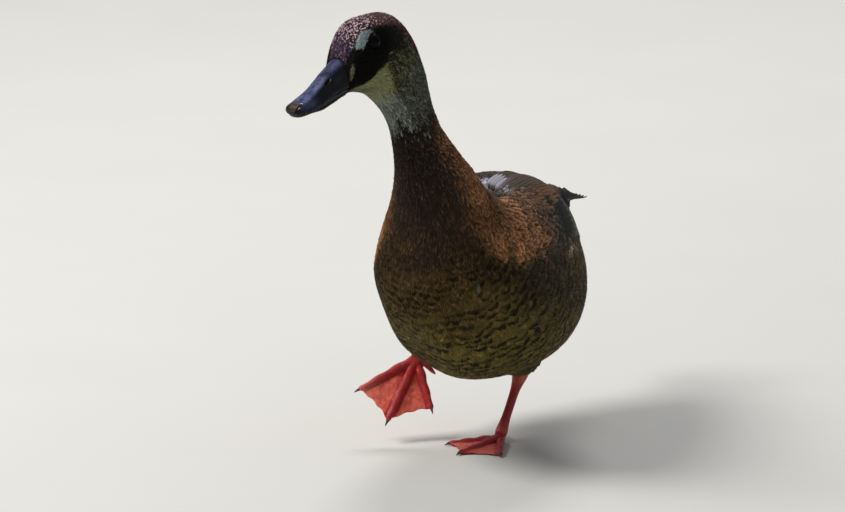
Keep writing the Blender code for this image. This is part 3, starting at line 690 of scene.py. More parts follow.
    # head and throat: every border is a mixture of single feathers of either colour
    edge_t = np.interp(phi, [-90, -60, -20, 30], [11.45, 11.35, 11.05, 11.15])
    up = (alt < step(t + (n2 - 0.5) * 0.5, edge_t - 0.5, edge_t + 0.45)).astype(float)
    lay("nape", up * step(phi, 0, 40))
    cheek = up * step(phi, 44, 32)
    lay("cheek_low", cheek)
    lay("cheek", cheek * step(t + wob * 0.5, 12.3, 13.3))
    low = np.interp(t, [14.6, 15.1, 15.4, 15.8, 16.1, 17.0, 18.0], [-12, -20, -41, -50, -52, -54, -56])
    rim = np.where(t > 14.6, low, -12 - 23 * (14.6 - t))
    wedge_m = step(rim - phi + (n3 - 0.5) * 8 + (n2 - 0.5) * 6, -6, 6) * step(t, 12.3, 13.3) * step(t, 16.6, 16.0)
    wedge = (rnd < 0.02 + 1.0 * wedge_m) * step(wedge_m, 0.0, 0.35)
    throat_m = step(phi + (n1 - 0.5) * 14, -38 - 6 * step(t, 12.8, 11.8), -60 - 6 * step(t, 12.8, 11.8))
    throat = up * (alt < throat_m) * 0.9
    lay("throat", throat * step(t, 14.6, 13.8))
    lay("wedge", wedge * (0.80 + 0.2 * n2))
    # painted shade under the jaw: the chin darker and greener than the throat
    lay(rgb(128, 130, 106), step(t, 13.6, 14.6) * step(phi, -55, -64))
    mottled = np.maximum(cheek * (1 - wedge_m) * (1 - throat_m), 0.55 * throat_m * step(t, 13.2, 12.2) * up)
    share = 0.30 + 0.34 * step(t, 12.6, 14.2) + 0.5 * (n3 - 0.5)
    lay(rgb(34, 28, 18), 0.80 * (rnd < share) * mottled)
    lay(rgb(168, 170, 150), 0.50 * (rnd > 0.86 - 0.08 * step(t, 12.8, 11.6)) * mottled)
    mask_m = step(t + (n2 - 0.5) * 0.3, 13.95, 15.05) * step(phi - low + (n3 - 0.5) * 8, -3, 4)
    crisp = step(t, 14.9, 15.3)
    mask = np.maximum(mask_m * (alt < mask_m * 1.15), crisp * mask_m)
    lay("mask", mask)
    behind = ellipse(t, phi, 14.75, 24, 1.05, 22, 0, 0.7)
    lay("mask", (alt < behind * 1.2) * 0.95)
    crown_edge = 50 - 9 * step(t, 15.2, 13.6) - 8 * step(t, 13.8, 13.0) - 2 * step(t, 15.6, 16.6) + (n3 - 0.5) * 9
    crown_edge = np.where(t > 16.9, 46 + (t - 16.9) * 5 + (n3 - 0.5) * 9, crown_edge)
    crown = step(phi + (alt - 0.5) * 5, crown_edge - 3, crown_edge + 2) * step(t + wob * 0.4, 12.3, 13.3)
    lay("crown", crown)
    front = crown * step(t, 14.9, 16.0)
    lay(rgb(104, 82, 96), front * 0.6)
    brow = step(t, 16.4, 17.5)
    lay("violet", front * brow * 0.8)
    gap = np.hypot((t - 15.66) * 11.0, (phi - 25.5) * 0.29)
    patch = inside(t, phi + (n3 - 0.5) * 4, PATCH, 0.7) * step(gap, 3.5, 4.1)
    patch = patch * (alt < 0.2 + 1.2 * patch)
    lay("patch", patch * (0.84 + 0.16 * n3))
    lore = step(np.hypot((t - 17.55) * 10.0, (phi - 3.0) * 0.18), 4.0, 2.2)
    lay("lore", lore * (alt < 0.1 + 1.2 * lore) * (0.65 + 0.35 * n3))
    # each feather's own tone, and painted highlights: lit specks (glints) on the crown, more of them towards the front
    spread = 0.13 + 0.14 * crown + (0.16 if barb else 0.0)
    col = col * np.exp(spread * 2.2 * (rnd - 0.5))[..., None]
    shown = crown * (1 - patch)
    reddish = shown * (1 - front) * (rnd < 0.26)
    lay(rgb(136, 62, 40), reddish * 0.75)
    dark = shown * (rnd > 0.30) * (rnd < 0.62)
    lay(rgb(14, 7, 12), dark * 0.85)
    lit = front * (1 - brow)
    glint = shown * (rnd > 0.965 - 0.385 * lit) * (0.5 + 0.5 * lit)
    if barb:
        glint = glint * (rnd > 0.93)
    body = 1 - step(t, 11.0, 11.8)
    if not barb:
        flecks = body * (rnd > 0.992) * step(t, 8.6, 8.0) * step(phi, -5, -25)
        lay("fleck", flecks * 0.5)
    # on the head the bar's place carries the crown's painted highlight instead
    bar = np.where(t > 11.5, glint, bar)
    return col, np.stack([np.clip(bar, 0, 1.2), mid, edge], -1)


# ---------------------------------------------------------------- meshes


def mesh_object(name, verts, faces, smooth_shading=True):
    """verts in mm. faces is one array or a list of arrays of 3 or 4 columns."""
    verts = np.asarray(verts, float).reshape(-1, 3) * MM
    groups = [np.asarray(f, np.int32) for f in (faces if isinstance(faces, list) else [faces]) if len(f)]
    mesh = bpy.data.meshes.new(name)
    mesh.vertices.add(len(verts))
    mesh.vertices.foreach_set("co", verts.astype(np.float32).ravel())
    loops = np.concatenate([f.ravel() for f in groups])
    sizes = np.concatenate([np.full(len(f), f.shape[1]) for f in groups])
    starts = np.concatenate([[0], np.cumsum(sizes)[:-1]])
    mesh.loops.add(len(loops))
    mesh.loops.foreach_set("vertex_index", loops)
    mesh.polygons.add(len(sizes))
    mesh.polygons.foreach_set("loop_start", starts.astype(np.int32))
    mesh.update(calc_edges=True)
    mesh.validate()
    if smooth_shading:
        mesh.shade_smooth()
    obj = bpy.data.objects.new(name, mesh)
    bpy.context.scene.collection.objects.link(obj)
    return obj


def put(obj, name, values):
    """A point attribute: one number, three numbers or a colour (three numbers) for each vertex."""
    values = np.asarray(values, np.float32)
    if values.ndim == 1:
        obj.data.attributes.new(name, "FLOAT", "POINT").data.foreach_set("value", values)
    elif name.startswith("col"):
        full = np.ones((len(values), 4), np.float32)
        full[:, :3] = values
        obj.data.attributes.new(name, "FLOAT_COLOR", "POINT").data.foreach_set("color", full.ravel())
    else:
        obj.data.attributes.new(name, "FLOAT_VECTOR", "POINT").data.foreach_set("vector", values.ravel())


def put_uv(obj, uv):
    layer = obj.data.uv_layers.new(name="OFBake")
    index = np.zeros(len(obj.data.loops), np.int32)
    obj.data.loops.foreach_get("vertex_index", index)
    layer.data.foreach_set("uv", np.asarray(uv, np.float32)[index].ravel())


def orient(faces, verts, out):
    """Faces turned so that their normals agree with the directions out, one for each vertex."""
    a, b, c = verts[faces[:, 0]], verts[faces[:, 1]], verts[faces[:, 2]]
    n = np.cross(b - a, c - a)
    flip = (n * out[faces[:, 0]]).sum(1) < 0
    faces = faces.copy()
    faces[flip] = faces[flip][:, ::-1]
    return faces


class Vane:
    """A closed thin plate: nu lengths by nv widths on top and underneath, meeting along its edges. Local a runs 0..1 from the
    root to the tip, b runs -1..1 across, top is 1 above, -1 underneath and 0 on the rim."""

    def __init__(self, nu, nv, pointed=0.0, ragged=0.0, root=0.35, widest=0.58):
        ua = np.linspace(0, 1, nu + 1) ** 0.9
        vb = np.linspace(-1, 1, nv + 1)
        a, b, top, index, rows = [], [], [], {}, []
        for layer in (1, -1):
            for i in range(nu + 1):
                for j in range(nv + 1):
                    rim = j in (0, nv)
                    if layer < 0 and rim:
                        index[(layer, i, j)] = index[(1, i, j)]
                        continue
                    index[(layer, i, j)] = len(a)
                    a.append(ua[i])
                    b.append(vb[j])
                    top.append(0 if rim else layer)
        faces = []
        for i in range(nu):
            for j in range(nv):
                for layer in (1, -1):
                    q = [index[(layer, i, j)], index[(layer, i + 1, j)], index[(layer, i + 1, j + 1)], index[(layer, i, j + 1)]]
                    if layer < 0:
                        q = q[::-1]
                    faces += [(q[0], q[1], q[2]), (q[0], q[2], q[3])]
        for i, turn in ((0, 1), (nu, -1)):
            for j in range(nv):
                q = [index[(1, i, j)], index[(1, i, j + 1)], index[(-1, i, j + 1)], index[(-1, i, j)]]
                q = q[::turn]
                keep = [q[0]]
                for x in q[1:]:
                    if x not in keep:
                        keep.append(x)
                for k in range(1, len(keep) - 1):
                    faces.append((keep[0], keep[k], keep[k + 1]))
        self.a, self.b, self.top = np.array(a), np.array(b), np.array(top, float)
        self.faces = np.array(faces, np.int32)
        self.ragged = ragged
        # half width along the vane, 1 at its widest
        x = self.a
        rise_part = root + (1 - root) * smooth(x / widest)
        fall = np.clip((x - widest) / (1 - widest), 0, 1)
        round_part = np.sqrt(np.clip(1 - (fall * 0.985) ** 2, 0, 1))
        point_part = np.clip(1 - fall**1.25 * 0.97, 0.03, 1)
        self.w = np.where(x < widest, rise_part, round_part * (1 - pointed) + point_part * pointed)
        self.inner = np.abs(self.b) < 0.999


class Barb:
    """One loose barb: a narrow pointed blade of triangular section, with the same local coordinates as a Vane."""

    def __init__(self):
        self.a = np.array([0.0, 0, 0, 0.55, 0.55, 0.55, 1.0])
        self.b = np.array([-1.0, 0, 1] * 2 + [0.0])
        self.top = np.array([0.0, 1, 0] * 2 + [0.0])
        self.w = np.array([0.6] * 3 + [1.0] * 3 + [0.0])
        self.ragged = 0.0
        f = [(0, 1, 2), (0, 3, 4), (0, 4, 1), (1, 4, 5), (1, 5, 2), (2, 5, 3), (2, 3, 0), (3, 6, 4), (4, 6, 5), (5, 6, 3)]
        f = np.array(f, np.int32)
        p = np.stack([self.a * 6, self.b * self.w * 0.3, self.top * 0.2], 1)
        if (p[f[:, 0]] * np.cross(p[f[:, 1]], p[f[:, 2]])).sum() < 0:
            f = f[:, ::-1]
        self.faces = f


def lay_vanes(surface, vane, t, a, length, half, low, high, yaw=0.0, crown=0.25, roll=None, lift=None, curl=0.0, thick=0.22, lie=None, rag=None):
    """Vanes on a surface, roots at (t, a), their length running down t. Everything is in mm; low and high are the heights of the root and tip.
    Returns vertices (n, m, 3), the (t, angle) of each, and local coordinates in mm."""
    n, m = len(t), len(vane.a)
    t, a = np.asarray(t, float), np.asarray(a, float)
    full = np.ones(n)
    length, half, low, high, yaw, curl, thick = (np.asarray(q, float) * full for q in (length, half, low, high, yaw, curl, thick))
    root = surface.look(t, a)
    pt, pa, nn = root[:, 6:9], root[:, 9:12], root[:, 3:6]
    d = -pt / (np.linalg.norm(pt, axis=1)[:, None] + 1e-9)
    d -= nn * (d * nn).sum(1)[:, None]
    d /= np.linalg.norm(d, axis=1)[:, None]
    e = np.cross(nn, d)
    c, s = np.cos(yaw)[:, None], np.sin(yaw)[:, None]
    along = vane.a[None] * length[:, None]
    if vane.ragged:
        key = RNG.random((n, 24))
        col = np.clip(((vane.b + 1) / 2 * 23).astype(int), 0, 23)
        along = along * (1 + vane.ragged * (key[:, col] - 0.5) * smooth((vane.a - 0.6) / 0.4)[None])
    across = vane.b[None] * vane.w[None] * half[:, None]
    bendy = curl[:, None] * (vane.a[None] ** 2) * length[:, None]
    x = along * c - (across + bendy) * s
    y = along * s + (across + bendy) * c
    ea = (e * pa).sum(1)[:, None]
    ea = np.where(np.abs(ea) < 0.5, 0.5 * np.sign(ea + 1e-9), ea)
    da = y / ea
    dd = (d * pt).sum(1)[:, None]
    dt = (x - (d * pa).sum(1)[:, None] * da) / dd
    tt, aa = t[:, None] + dt, a[:, None] + da
    v = surface.look(tt, aa, 6)
    h = low[:, None] + (high - low)[:, None] * vane.a[None] ** 0.85
    h = h - crown * (vane.b[None] ** 2) * vane.w[None]
    taper = (1 - 0.55 * vane.a[None]) * thick[:, None] / 2
    h = h + vane.top[None] * taper
    if roll is not None:
        h = h + (roll[:, None] * vane.b[None] * half[:, None]) * vane.a[None]
    if lift is not None:
        h = h + lift(tt, aa)
    pos = v[..., :3] + v[..., 3:6] * h[..., None]
    return pos, tt, aa, np.stack([along, across], -1)


def coat_piece(name, parts, material, uv_scale=0.0032):
    """Joins laid vanes into one object. Each part: (vane, positions, colour (n,m,3), pattern (n,m,3), local mm, root uv (n,2), rnd (n), gloss (n,m) or None)."""
    verts, faces, cols, pats, loc, mm, uvs, gloss, places, base = [], [], [], [], [], [], [], [], [], 0
    for vane, pos, col, pat, local, uv, rnd, shine, place in parts:
        n, m = pos.shape[:2]
        if n == 0:
            continue
        verts.append(pos.reshape(-1, 3))
        faces.append((vane.faces[None] + (np.arange(n) * m)[:, None, None]).reshape(-1, 3) + base)
        base += n * m
        cols.append(np.broadcast_to(col, (n, m, 3)).reshape(-1, 3))
        pats.append(np.broadcast_to(pat, (n, m, 3)).reshape(-1, 3))
        ab = np.stack([np.broadcast_to(vane.a, (n, m)), np.broadcast_to(vane.b, (n, m)), np.broadcast_to(rnd[:, None], (n, m))], -1)
        loc.append(ab.reshape(-1, 3))
        mm.append(np.concatenate([local, np.broadcast_to(rnd[:, None, None] * 97.0, (n, m, 1))], -1).reshape(-1, 3))
        patch = np.stack([vane.b * vane.w * 0.5, vane.a - 0.5], -1)[None] * uv_scale
        uvs.append((uv[:, None, :] + patch).reshape(-1, 2))
        gloss.append(np.broadcast_to(0.0 if shine is None else shine, (n, m)).reshape(-1))
        places.append(np.zeros((n * m, 3)) if place is None else np.broadcast_to(place, (n, m, 3)).reshape(-1, 3))
    verts = np.concatenate(verts)
    obj = mesh_object(name, verts, np.concatenate(faces))
    put(obj, "col", np.concatenate(cols))
    put(obj, "pat", np.concatenate(pats))
    put(obj, "ab", np.concatenate(loc))
    put(obj, "mm", np.concatenate(mm))
    put(obj, "gloss", np.concatenate(gloss))
    put(obj, "place", np.concatenate(places))
    put_uv(obj, np.clip(np.concatenate(uvs), 0.001, 0.999))
    obj.data.materials.append(material)
    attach(obj, "root")
    print(name, "triangles", sum(len(f) for f in faces))
    return obj


def body_uv(t, a, t_low=T_LOW, t_high=T_TOP):
    """The skin's own unwrap: angle from the belly's middle line, and the way along the body."""
    turn = np.mod(a + np.pi / 2, 2 * np.pi) / (2 * np.pi)
    return np.stack([0.01 + 0.98 * turn, 0.01 + 0.98 * (np.clip(t, t_low, t_high) - t_low) / (t_high - t_low)], -1)


# ---------------------------------------------------------------- eyes' places, and the coat's depth


EYES = {}
for side in (1, -1):
    middle, angle = eye_design(side)
    EYES[side] = middle + SHIFT


def eye_distance(p):
    return np.minimum(np.linalg.norm(p - EYES[1], axis=-1), np.linalg.norm(p - EYES[-1], axis=-1))


def inset(t):
    """Depth of the coat, in mm: how far the skin lies inside the bird's outline."""
    return np.interp(t, [-1, 0, 2, 7, 9, 11, 13, 15, 17, 18], [1.4, 1.6, 2.0, 2.0, 1.8, 1.4, 1.0, 0.75, 0.55, 0.35])


# ---------------------------------------------------------------- node materials


class Nodes:
    def __init__(self, name):
        self.mat = bpy.data.materials.new(name)
        self.mat.use_nodes = True
        self.tree = self.mat.node_tree
        self.shader = self.tree.nodes["Principled BSDF"]

    def add(self, kind, **values):
        node = self.tree.nodes.new(kind)
        for k, v in values.items():
            setattr(node, k, v)
        return node

    def link(self, source, target):
        self.tree.links.new(source, target)

    def feed(self, socket, value):
        if hasattr(value, "is_linked") or isinstance(value, bpy.types.NodeSocket):
            self.link(value, socket)
        else:
            socket.default_value = value

    def attribute(self, name, output="Color"):
        node = self.add("ShaderNodeAttribute", attribute_name=name)
        return node.outputs[output]

    def split(self, vector):
        node = self.add("ShaderNodeSeparateXYZ")
        self.link(vector, node.inputs[0])
        return node.outputs

    def join(self, x, y, z):
        node = self.add("ShaderNodeCombineXYZ")
        for socket, v in zip(node.inputs, (x, y, z)):
            self.feed(socket, v)
        return node.outputs[0]

    def math(self, op, a, b=0.0, c=0.0, clamp=False):
        node = self.add("ShaderNodeMath", operation=op, use_clamp=clamp)
        self.feed(node.inputs[0], a)
        self.feed(node.inputs[1], b)
        self.feed(node.inputs[2], c)
        return node.outputs[0]

    def ramp(self, x, a, b, lo=0.0, hi=1.0):
        node = self.add("ShaderNodeMapRange", interpolation_type="SMOOTHSTEP")
        self.feed(node.inputs["Value"], x)
        self.feed(node.inputs["From Min"], a)
        self.feed(node.inputs["From Max"], b)
        self.feed(node.inputs["To Min"], lo)
        self.feed(node.inputs["To Max"], hi)
        return node.outputs["Result"]

    def mix(self, f, a, b, blend="MIX"):
        node = self.add("ShaderNodeMix", data_type="RGBA", blend_type=blend)
        node.clamp_factor = True
        self.feed(node.inputs[0], f)
        self.feed(node.inputs[6], a if not isinstance(a, tuple) else (*a, 1.0))
        self.feed(node.inputs[7], b if not isinstance(b, tuple) else (*b, 1.0))
        return node.outputs[2]

    def noise(self, vector, scale, detail=2.0, rough=0.5, distortion=0.0):
        node = self.add("ShaderNodeTexNoise")
        self.link(vector, node.inputs["Vector"])
        node.inputs["Scale"].default_value = scale
        node.inputs["Detail"].default_value = detail
        node.inputs["Roughness"].default_value = rough
        node.inputs["Distortion"].default_value = distortion
        return node.outputs["Fac"]

    def voronoi(self, vector, scale, feature="F1"):
        node = self.add("ShaderNodeTexVoronoi", feature=feature)
        self.link(vector, node.inputs["Vector"])
        node.inputs["Scale"].default_value = scale
        return node.outputs["Distance"]

    def stretch(self, vector, scale):
        node = self.add("ShaderNodeVectorMath", operation="MULTIPLY")
        self.link(vector, node.inputs[0])
        node.inputs[1].default_value = scale
        return node.outputs[0]

    def bump(self, height, distance, strength=1.0):
        node = self.add("ShaderNodeBump")
        node.inputs["Strength"].default_value = strength
        node.inputs["Distance"].default_value = distance
        self.link(height, node.inputs["Height"])
        self.link(node.outputs[0], self.shader.inputs["Normal"])

    def position(self):
        return self.add("ShaderNodeTexCoord").outputs["Object"]

    def set(self, **values):
        for k, v in values.items():
            self.feed(self.shader.inputs[k.replace("_", " ")], v)
        return self.mat


def crescents(n, fine):
    """Dark crescents in staggered rows: ends towards the root, belly of the curve towards the tip."""
    row, column, _ = n.split(n.attribute("place", "Vector"))
    row = n.math("ADD", row, n.math("MULTIPLY", n.math("SUBTRACT", fine, 0.5), 0.22))
    k = n.math("FLOOR", row)
    f = n.math("SUBTRACT", row, k)
    c = n.math("ADD", column, n.math("MULTIPLY", k, 0.5))
    j = n.math("FLOOR", c)
    x = n.math("SUBTRACT", n.math("SUBTRACT", c, j), 0.5)
    x2 = n.math("MULTIPLY", n.math("MULTIPLY", x, x), 4.0)
    chance = n.add("ShaderNodeTexWhiteNoise", noise_dimensions="3D")
    n.link(n.join(k, j, 3.0), chance.inputs["Vector"])
    w0, w1, w2 = n.split(chance.outputs["Color"])
    middle = n.math("ADD", n.math("ADD", 0.20, n.math("MULTIPLY", w0, 0.14)), n.math("MULTIPLY", n.math("SUBTRACT", 1.0, x2), 0.34))
    half = n.math("MULTIPLY", n.math("ADD", 0.20, n.math("MULTIPLY", w1, 0.15)), n.math("SUBTRACT", 1.0, n.math("MULTIPLY", x2, x2)))
    away = n.math("ABSOLUTE", n.math("SUBTRACT", f, middle))
    band = n.ramp(away, n.math("ADD", half, 0.07), n.math("SUBTRACT", half, 0.05))
    band = n.math("MULTIPLY", band, n.ramp(w2, 0.08, 0.22))
    return n.math("MULTIPLY", band, n.math("ADD", 0.72, n.math("MULTIPLY", w1, 0.4)))


def feather_material(name, rough=0.58, sheen=0.18, streak=0.5, spec=0.35, bars=True, barb=5.5, relief=0.00016, rows=False):
    n = Nodes(name)
    col = n.attribute("col")
    a, b, r = n.split(n.attribute("ab", "Vector"))
    bar, mid, edge = n.split(n.attribute("pat", "Vector"))
    mm = n.attribute("mm", "Vector")
    fine = n.noise(n.stretch(mm, (0.35, barb, 1.0)), 1.0, 2.0, 0.6)
    broad = n.noise(n.stretch(mm, (0.25, 0.9, 1.0)), 1.0, 1.0)
    side = n.math("ABSOLUTE", b)
    round_tip = n.math("ADD", a, n.math("MULTIPLY", n.math("MULTIPLY", side, side), 0.13))
    tip = n.math("ADD", round_tip, n.math("MULTIPLY", n.math("SUBTRACT", fine, 0.5), 0.16))
    col_now = col
    if rows:
        wave = n.math("MULTIPLY", crescents(n, fine), bar, clamp=True)
        col_now = n.mix(n.math("MULTIPLY", wave, 0.94), col_now, tuple(rgb(24, 17, 9)))
    if bars:
        heart = n.math("MULTIPLY", n.ramp(n.math("ADD", side, n.math("MULTIPLY", n.math("SUBTRACT", fine, 0.5), 0.5)), 0.80, 0.42), n.ramp(tip, 0.98, 0.84))
        heart = n.math("MULTIPLY", heart, mid, clamp=True)
        col_now = n.mix(n.math("MULTIPLY", heart, 0.86), col_now, n.mix(1.0, col, (0.15, 0.12, 0.10), "MULTIPLY"))
        rim = n.math("MAXIMUM", n.ramp(tip, 0.86, 0.98), n.math("MULTIPLY", n.ramp(side, 0.62, 0.95), 0.7))
        rim = n.math("MULTIPLY", rim, edge, clamp=True)
        col_now = n.mix(rim, col_now, n.mix(1.0, col, (1.75, 1.68, 1.58), "MULTIPLY"))
    tone = n.ramp(fine, 0.25, 0.75, 1.0 - streak, 1.0 + streak)
    # barb streaks, and painted shade: each vane darker towards its root, where the row above covers it
    streaks_and_root_shade = n.math("MULTIPLY", tone, n.ramp(a, 0.0, 0.5, 0.6, 1.0))
    grey = n.join(streaks_and_root_shade, streaks_and_root_shade, streaks_and_root_shade)
    col_now = n.mix(1.0, col_now, grey, "MULTIPLY")
    gloss = n.attribute("gloss", "Fac")
    n.bump(fine, relief, 0.7)
    rough_now = n.math("SUBTRACT", n.ramp(fine, 0.2, 0.8, rough + 0.10, rough - 0.10), n.math("MULTIPLY", gloss, 0.22))
    return n.set(
        **{
            "Base_Color": col_now,
            "Roughness": rough_now,
            "Metallic": n.math("MULTIPLY", gloss, 0.38),
            "Sheen_Weight": sheen,
            "Sheen_Roughness": 0.45,
            "Specular_IOR_Level": spec,
        }
    )


def skin_material():
    n = Nodes("duck_skin_material")
    pos = n.position()
    col = n.attribute("col")
    fine = n.noise(n.stretch(pos, (900.0, 900.0, 500.0)), 1.0, 3.0, 0.6)
    tone = n.ramp(fine, 0.25, 0.75, 0.45, 0.8)
    n.bump(fine, 0.0002, 0.6)
    return n.set(
        **{
            "Base_Color": n.mix(1.0, col, n.join(tone, tone, tone), "MULTIPLY"),
            "Roughness": n.ramp(fine, 0.2, 0.8, 0.75, 0.6),
            "Specular_IOR_Level": 0.2,
        }
    )


def bill_material():
    n = Nodes("bill_horn_material")
    pos = n.position()
    nail, hole, lip = n.split(n.attribute("mask", "Vector"))
    grain = n.noise(n.stretch(pos, (260.0, 260.0, 260.0)), 1.0, 4.0, 0.6)
    pores = n.noise(n.stretch(pos, (1800.0, 1800.0, 1800.0)), 1.0, 2.0, 0.5)
    ridge = n.attribute("ridge", "Fac")
    slate = n.mix(n.ramp(grain, 0.3, 0.7), tuple(rgb(2, 3, 7)), tuple(rgb(7, 9, 16)))
    # the crest along the top, lighter and bluer than the near-black sides: partly the bill's own colour, partly painted
    # highlight on the top and painted shade on the sides
    crest_colour_and_highlight = n.mix(n.ramp(grain, 0.3, 0.7), tuple(rgb(48, 54, 92)), tuple(rgb(84, 92, 134)))
    slate = n.mix(n.math("MULTIPLY", ridge, n.ramp(grain, 0.2, 0.5, 0.75, 1.0)), slate, crest_colour_and_highlight)
    slate = n.mix(n.math("MULTIPLY", lip, n.ramp(grain, 0.35, 0.6)), slate, tuple(rgb(38, 41, 58)))
    horn = n.mix(n.ramp(grain, 0.35, 0.65), tuple(rgb(24, 9, 13)), tuple(rgb(50, 22, 28)))
    col = n.mix(nail, slate, horn)
    # painted shade: the nostril's hole near-black
    col = n.mix(hole, col, tuple(rgb(8, 7, 9)))
    relief = n.math("ADD", n.math("MULTIPLY", grain, 0.7), n.math("MULTIPLY", pores, 0.3))
    n.bump(relief, 0.00022, 0.55)
    return n.set(
        **{
            "Base_Color": col,
            "Roughness": n.math("MAXIMUM", n.ramp(relief, 0.3, 0.7, 0.20, 0.36), n.math("MULTIPLY", n.math("MAXIMUM", hole, n.math("MULTIPLY", nail, 0.6)), 0.9)),
            "Coat_Weight": 0.04,
            "Coat_Roughness": 0.25,
            "Specular_IOR_Level": 0.24,
        }
    )


def eye_material():
    n = Nodes("eye_material")
    gaze = n.attribute("gaze", "Fac")
    spin = n.attribute("spin", "Fac")
    rays = n.noise(n.join(n.math("MULTIPLY", spin, 9.0), n.math("MULTIPLY", gaze, 3.0), 0.0), 1.0, 3.0, 0.6)
    iris = n.mix(rays, tuple(rgb(5, 3, 3)), tuple(rgb(14, 8, 5)))
    iris = n.mix(n.ramp(gaze, 0.70, 0.84), iris, tuple(rgb(5, 4, 4)))
    col = n.mix(n.ramp(gaze, 0.45, 0.40), iris, tuple(rgb(3, 3, 4)))
    return n.set(**{"Base_Color": col, "Roughness": n.ramp(rays, 0.2, 0.8, 0.16, 0.08), "Coat_Weight": 0.04, "Coat_Roughness": 0.03, "Specular_IOR_Level": 0.04})


def lid_material():
    n = Nodes("eyelid_material")
    pos = n.position()
    grain = n.noise(n.stretch(pos, (1500.0, 1500.0, 1500.0)), 1.0, 3.0, 0.6)
    col = n.mix(n.ramp(grain, 0.3, 0.7), tuple(rgb(3, 3, 3)), tuple(rgb(9, 7, 7)))
    n.bump(grain, 0.00012, 0.7)
    return n.set(**{"Base_Color": col, "Roughness": n.ramp(grain, 0.2, 0.8, 0.7, 0.56), "Specular_IOR_Level": 0.06})


def leg_material():
    n = Nodes("leg_skin_material")
    pos = n.position()
    along, topside, web = n.split(n.attribute("limb", "Vector"))
    grain = n.noise(n.stretch(pos, (420.0, 420.0, 420.0)), 1.0, 4.0, 0.6)
    cells = n.voronoi(n.stretch(pos, (1150.0, 1150.0, 1150.0)), 1.0, "DISTANCE_TO_EDGE")
    scute = n.math("FRACT", n.math("MULTIPLY", along, 0.62))
    groove = n.math("ABSOLUTE", n.math("SUBTRACT", scute, 0.5))
    groove = n.ramp(groove, 0.38, 0.5)
    groove = n.math("MULTIPLY", groove, topside, clamp=True)
    net = n.ramp(cells, 0.0, 0.09)
    red = n.mix(n.ramp(grain, 0.3, 0.7), tuple(rgb(156, 15, 24)), tuple(rgb(200, 36, 38)))
    pale = n.mix(n.ramp(grain, 0.3, 0.7), tuple(rgb(222, 78, 64)), tuple(rgb(246, 132, 110)))
    # the webs paler pinkish red than the toes: partly their own colour, partly painted light shining through them
    col = n.mix(n.math("MULTIPLY", web, 0.85), red, pale)
    x, y, z = n.split(pos)
    # painted light: the raised foot's web brighter salmon towards its outer edge
    outer = n.math("MULTIPLY", n.ramp(x, -0.043, -0.062), n.ramp(grain, 0.2, 0.6, 0.7, 1.0))
    col = n.mix(outer, col, tuple(rgb(255, 150, 134)))
    # painted shade: the standing leg and foot darker crimson
    col = n.mix(n.math("MULTIPLY", n.ramp(x, -0.012, 0.004), n.ramp(grain, 0.2, 0.7, 0.30, 0.46)), col, tuple(rgb(112, 8, 24)))
    col = n.mix(n.math("MULTIPLY", groove, 0.55), col, tuple(rgb(112, 14, 20)))
    crease = n.math("MULTIPLY", n.math("SUBTRACT", 1.0, net), n.math("SUBTRACT", 0.5, n.math("MULTIPLY", web, 0.3)))
    col = n.mix(crease, col, tuple(rgb(136, 20, 24)))
    relief = n.math("SUBTRACT", n.math("ADD", n.math("MULTIPLY", net, 0.6), n.math("MULTIPLY", grain, 0.5)), n.math("MULTIPLY", groove, 1.1))
    n.bump(relief, 0.00022, 0.8)
    return n.set(
        **{
            "Base_Color": col,
            "Roughness": n.ramp(grain, 0.25, 0.75, 0.48, 0.34),
            "Subsurface_Weight": 0.12,
            "Subsurface_Scale": 0.002,
            "Subsurface_Radius": (1.0, 0.25, 0.15),
            "Specular_IOR_Level": 0.5,
        }
    )


def claw_material():
    n = Nodes("claw_horn_material")
    pos = n.position()
    grain = n.noise(n.stretch(pos, (600.0, 600.0, 600.0)), 1.0, 3.0, 0.6)
    col = n.mix(n.ramp(grain, 0.3, 0.7), tuple(rgb(44, 28, 24)), tuple(rgb(92, 64, 52)))
    n.bump(grain, 0.0001, 0.5)
    return n.set(**{"Base_Color": col, "Roughness": n.ramp(grain, 0.2, 0.8, 0.42, 0.3)})


def floor_material():
    n = Nodes("studio_floor_material")
    pos = n.position()
    grain = n.noise(n.stretch(pos, (9.0, 9.0, 9.0)), 1.0, 2.0, 0.5)
    col = n.mix(grain, (0.60, 0.60, 0.59), (0.63, 0.63, 0.62))
    return n.set(**{"Base_Color": col, "Roughness": n.ramp(grain, 0.0, 1.0, 0.85, 0.95), "Specular_IOR_Level": 0.2})


MATERIALS = {
    "head": feather_material("head_feather_material", rough=0.5, sheen=0.0, streak=0.22, barb=8.0, relief=0.00008, spec=0.10, bars=False),
    "body": feather_material("body_feather_material", rough=0.62, sheen=0.0, streak=0.36, barb=4.5, spec=0.08, rows=True),
    "barb": feather_material("loose_barb_material", rough=0.6, sheen=0.0, streak=0.22, barb=5.0, relief=0.00006, spec=0.08, bars=False, rows=True),
    "flight": feather_material("flight_feather_material", rough=0.55, sheen=0.0, streak=0.22, barb=3.2, relief=0.00010, spec=0.05),
    "skin": skin_material(),
    "bill": bill_material(),
    "eye": eye_material(),
    "lid": lid_material(),
    "leg": leg_material(),
    "claw": claw_material(),
    "floor": floor_material(),
}

# ---------------------------------------------------------------- camera, floor and lights

LENS_SCALE = 1000.0 / 0.53  # pixels for each metre at the duck
AZ, EL = math.radians(17), math.radians(12)
BACK = np.array([math.sin(AZ) * math.cos(EL), -math.cos(AZ) * math.cos(EL), math.sin(EL)])
RIGHT = np.array([math.cos(AZ), math.sin(AZ), 0.0])
UP = np.cross(BACK, RIGHT)
AIM = np.array([0.0, 0.0, 0.1]) + SHIFT * MM
DISTANCE = 5.0


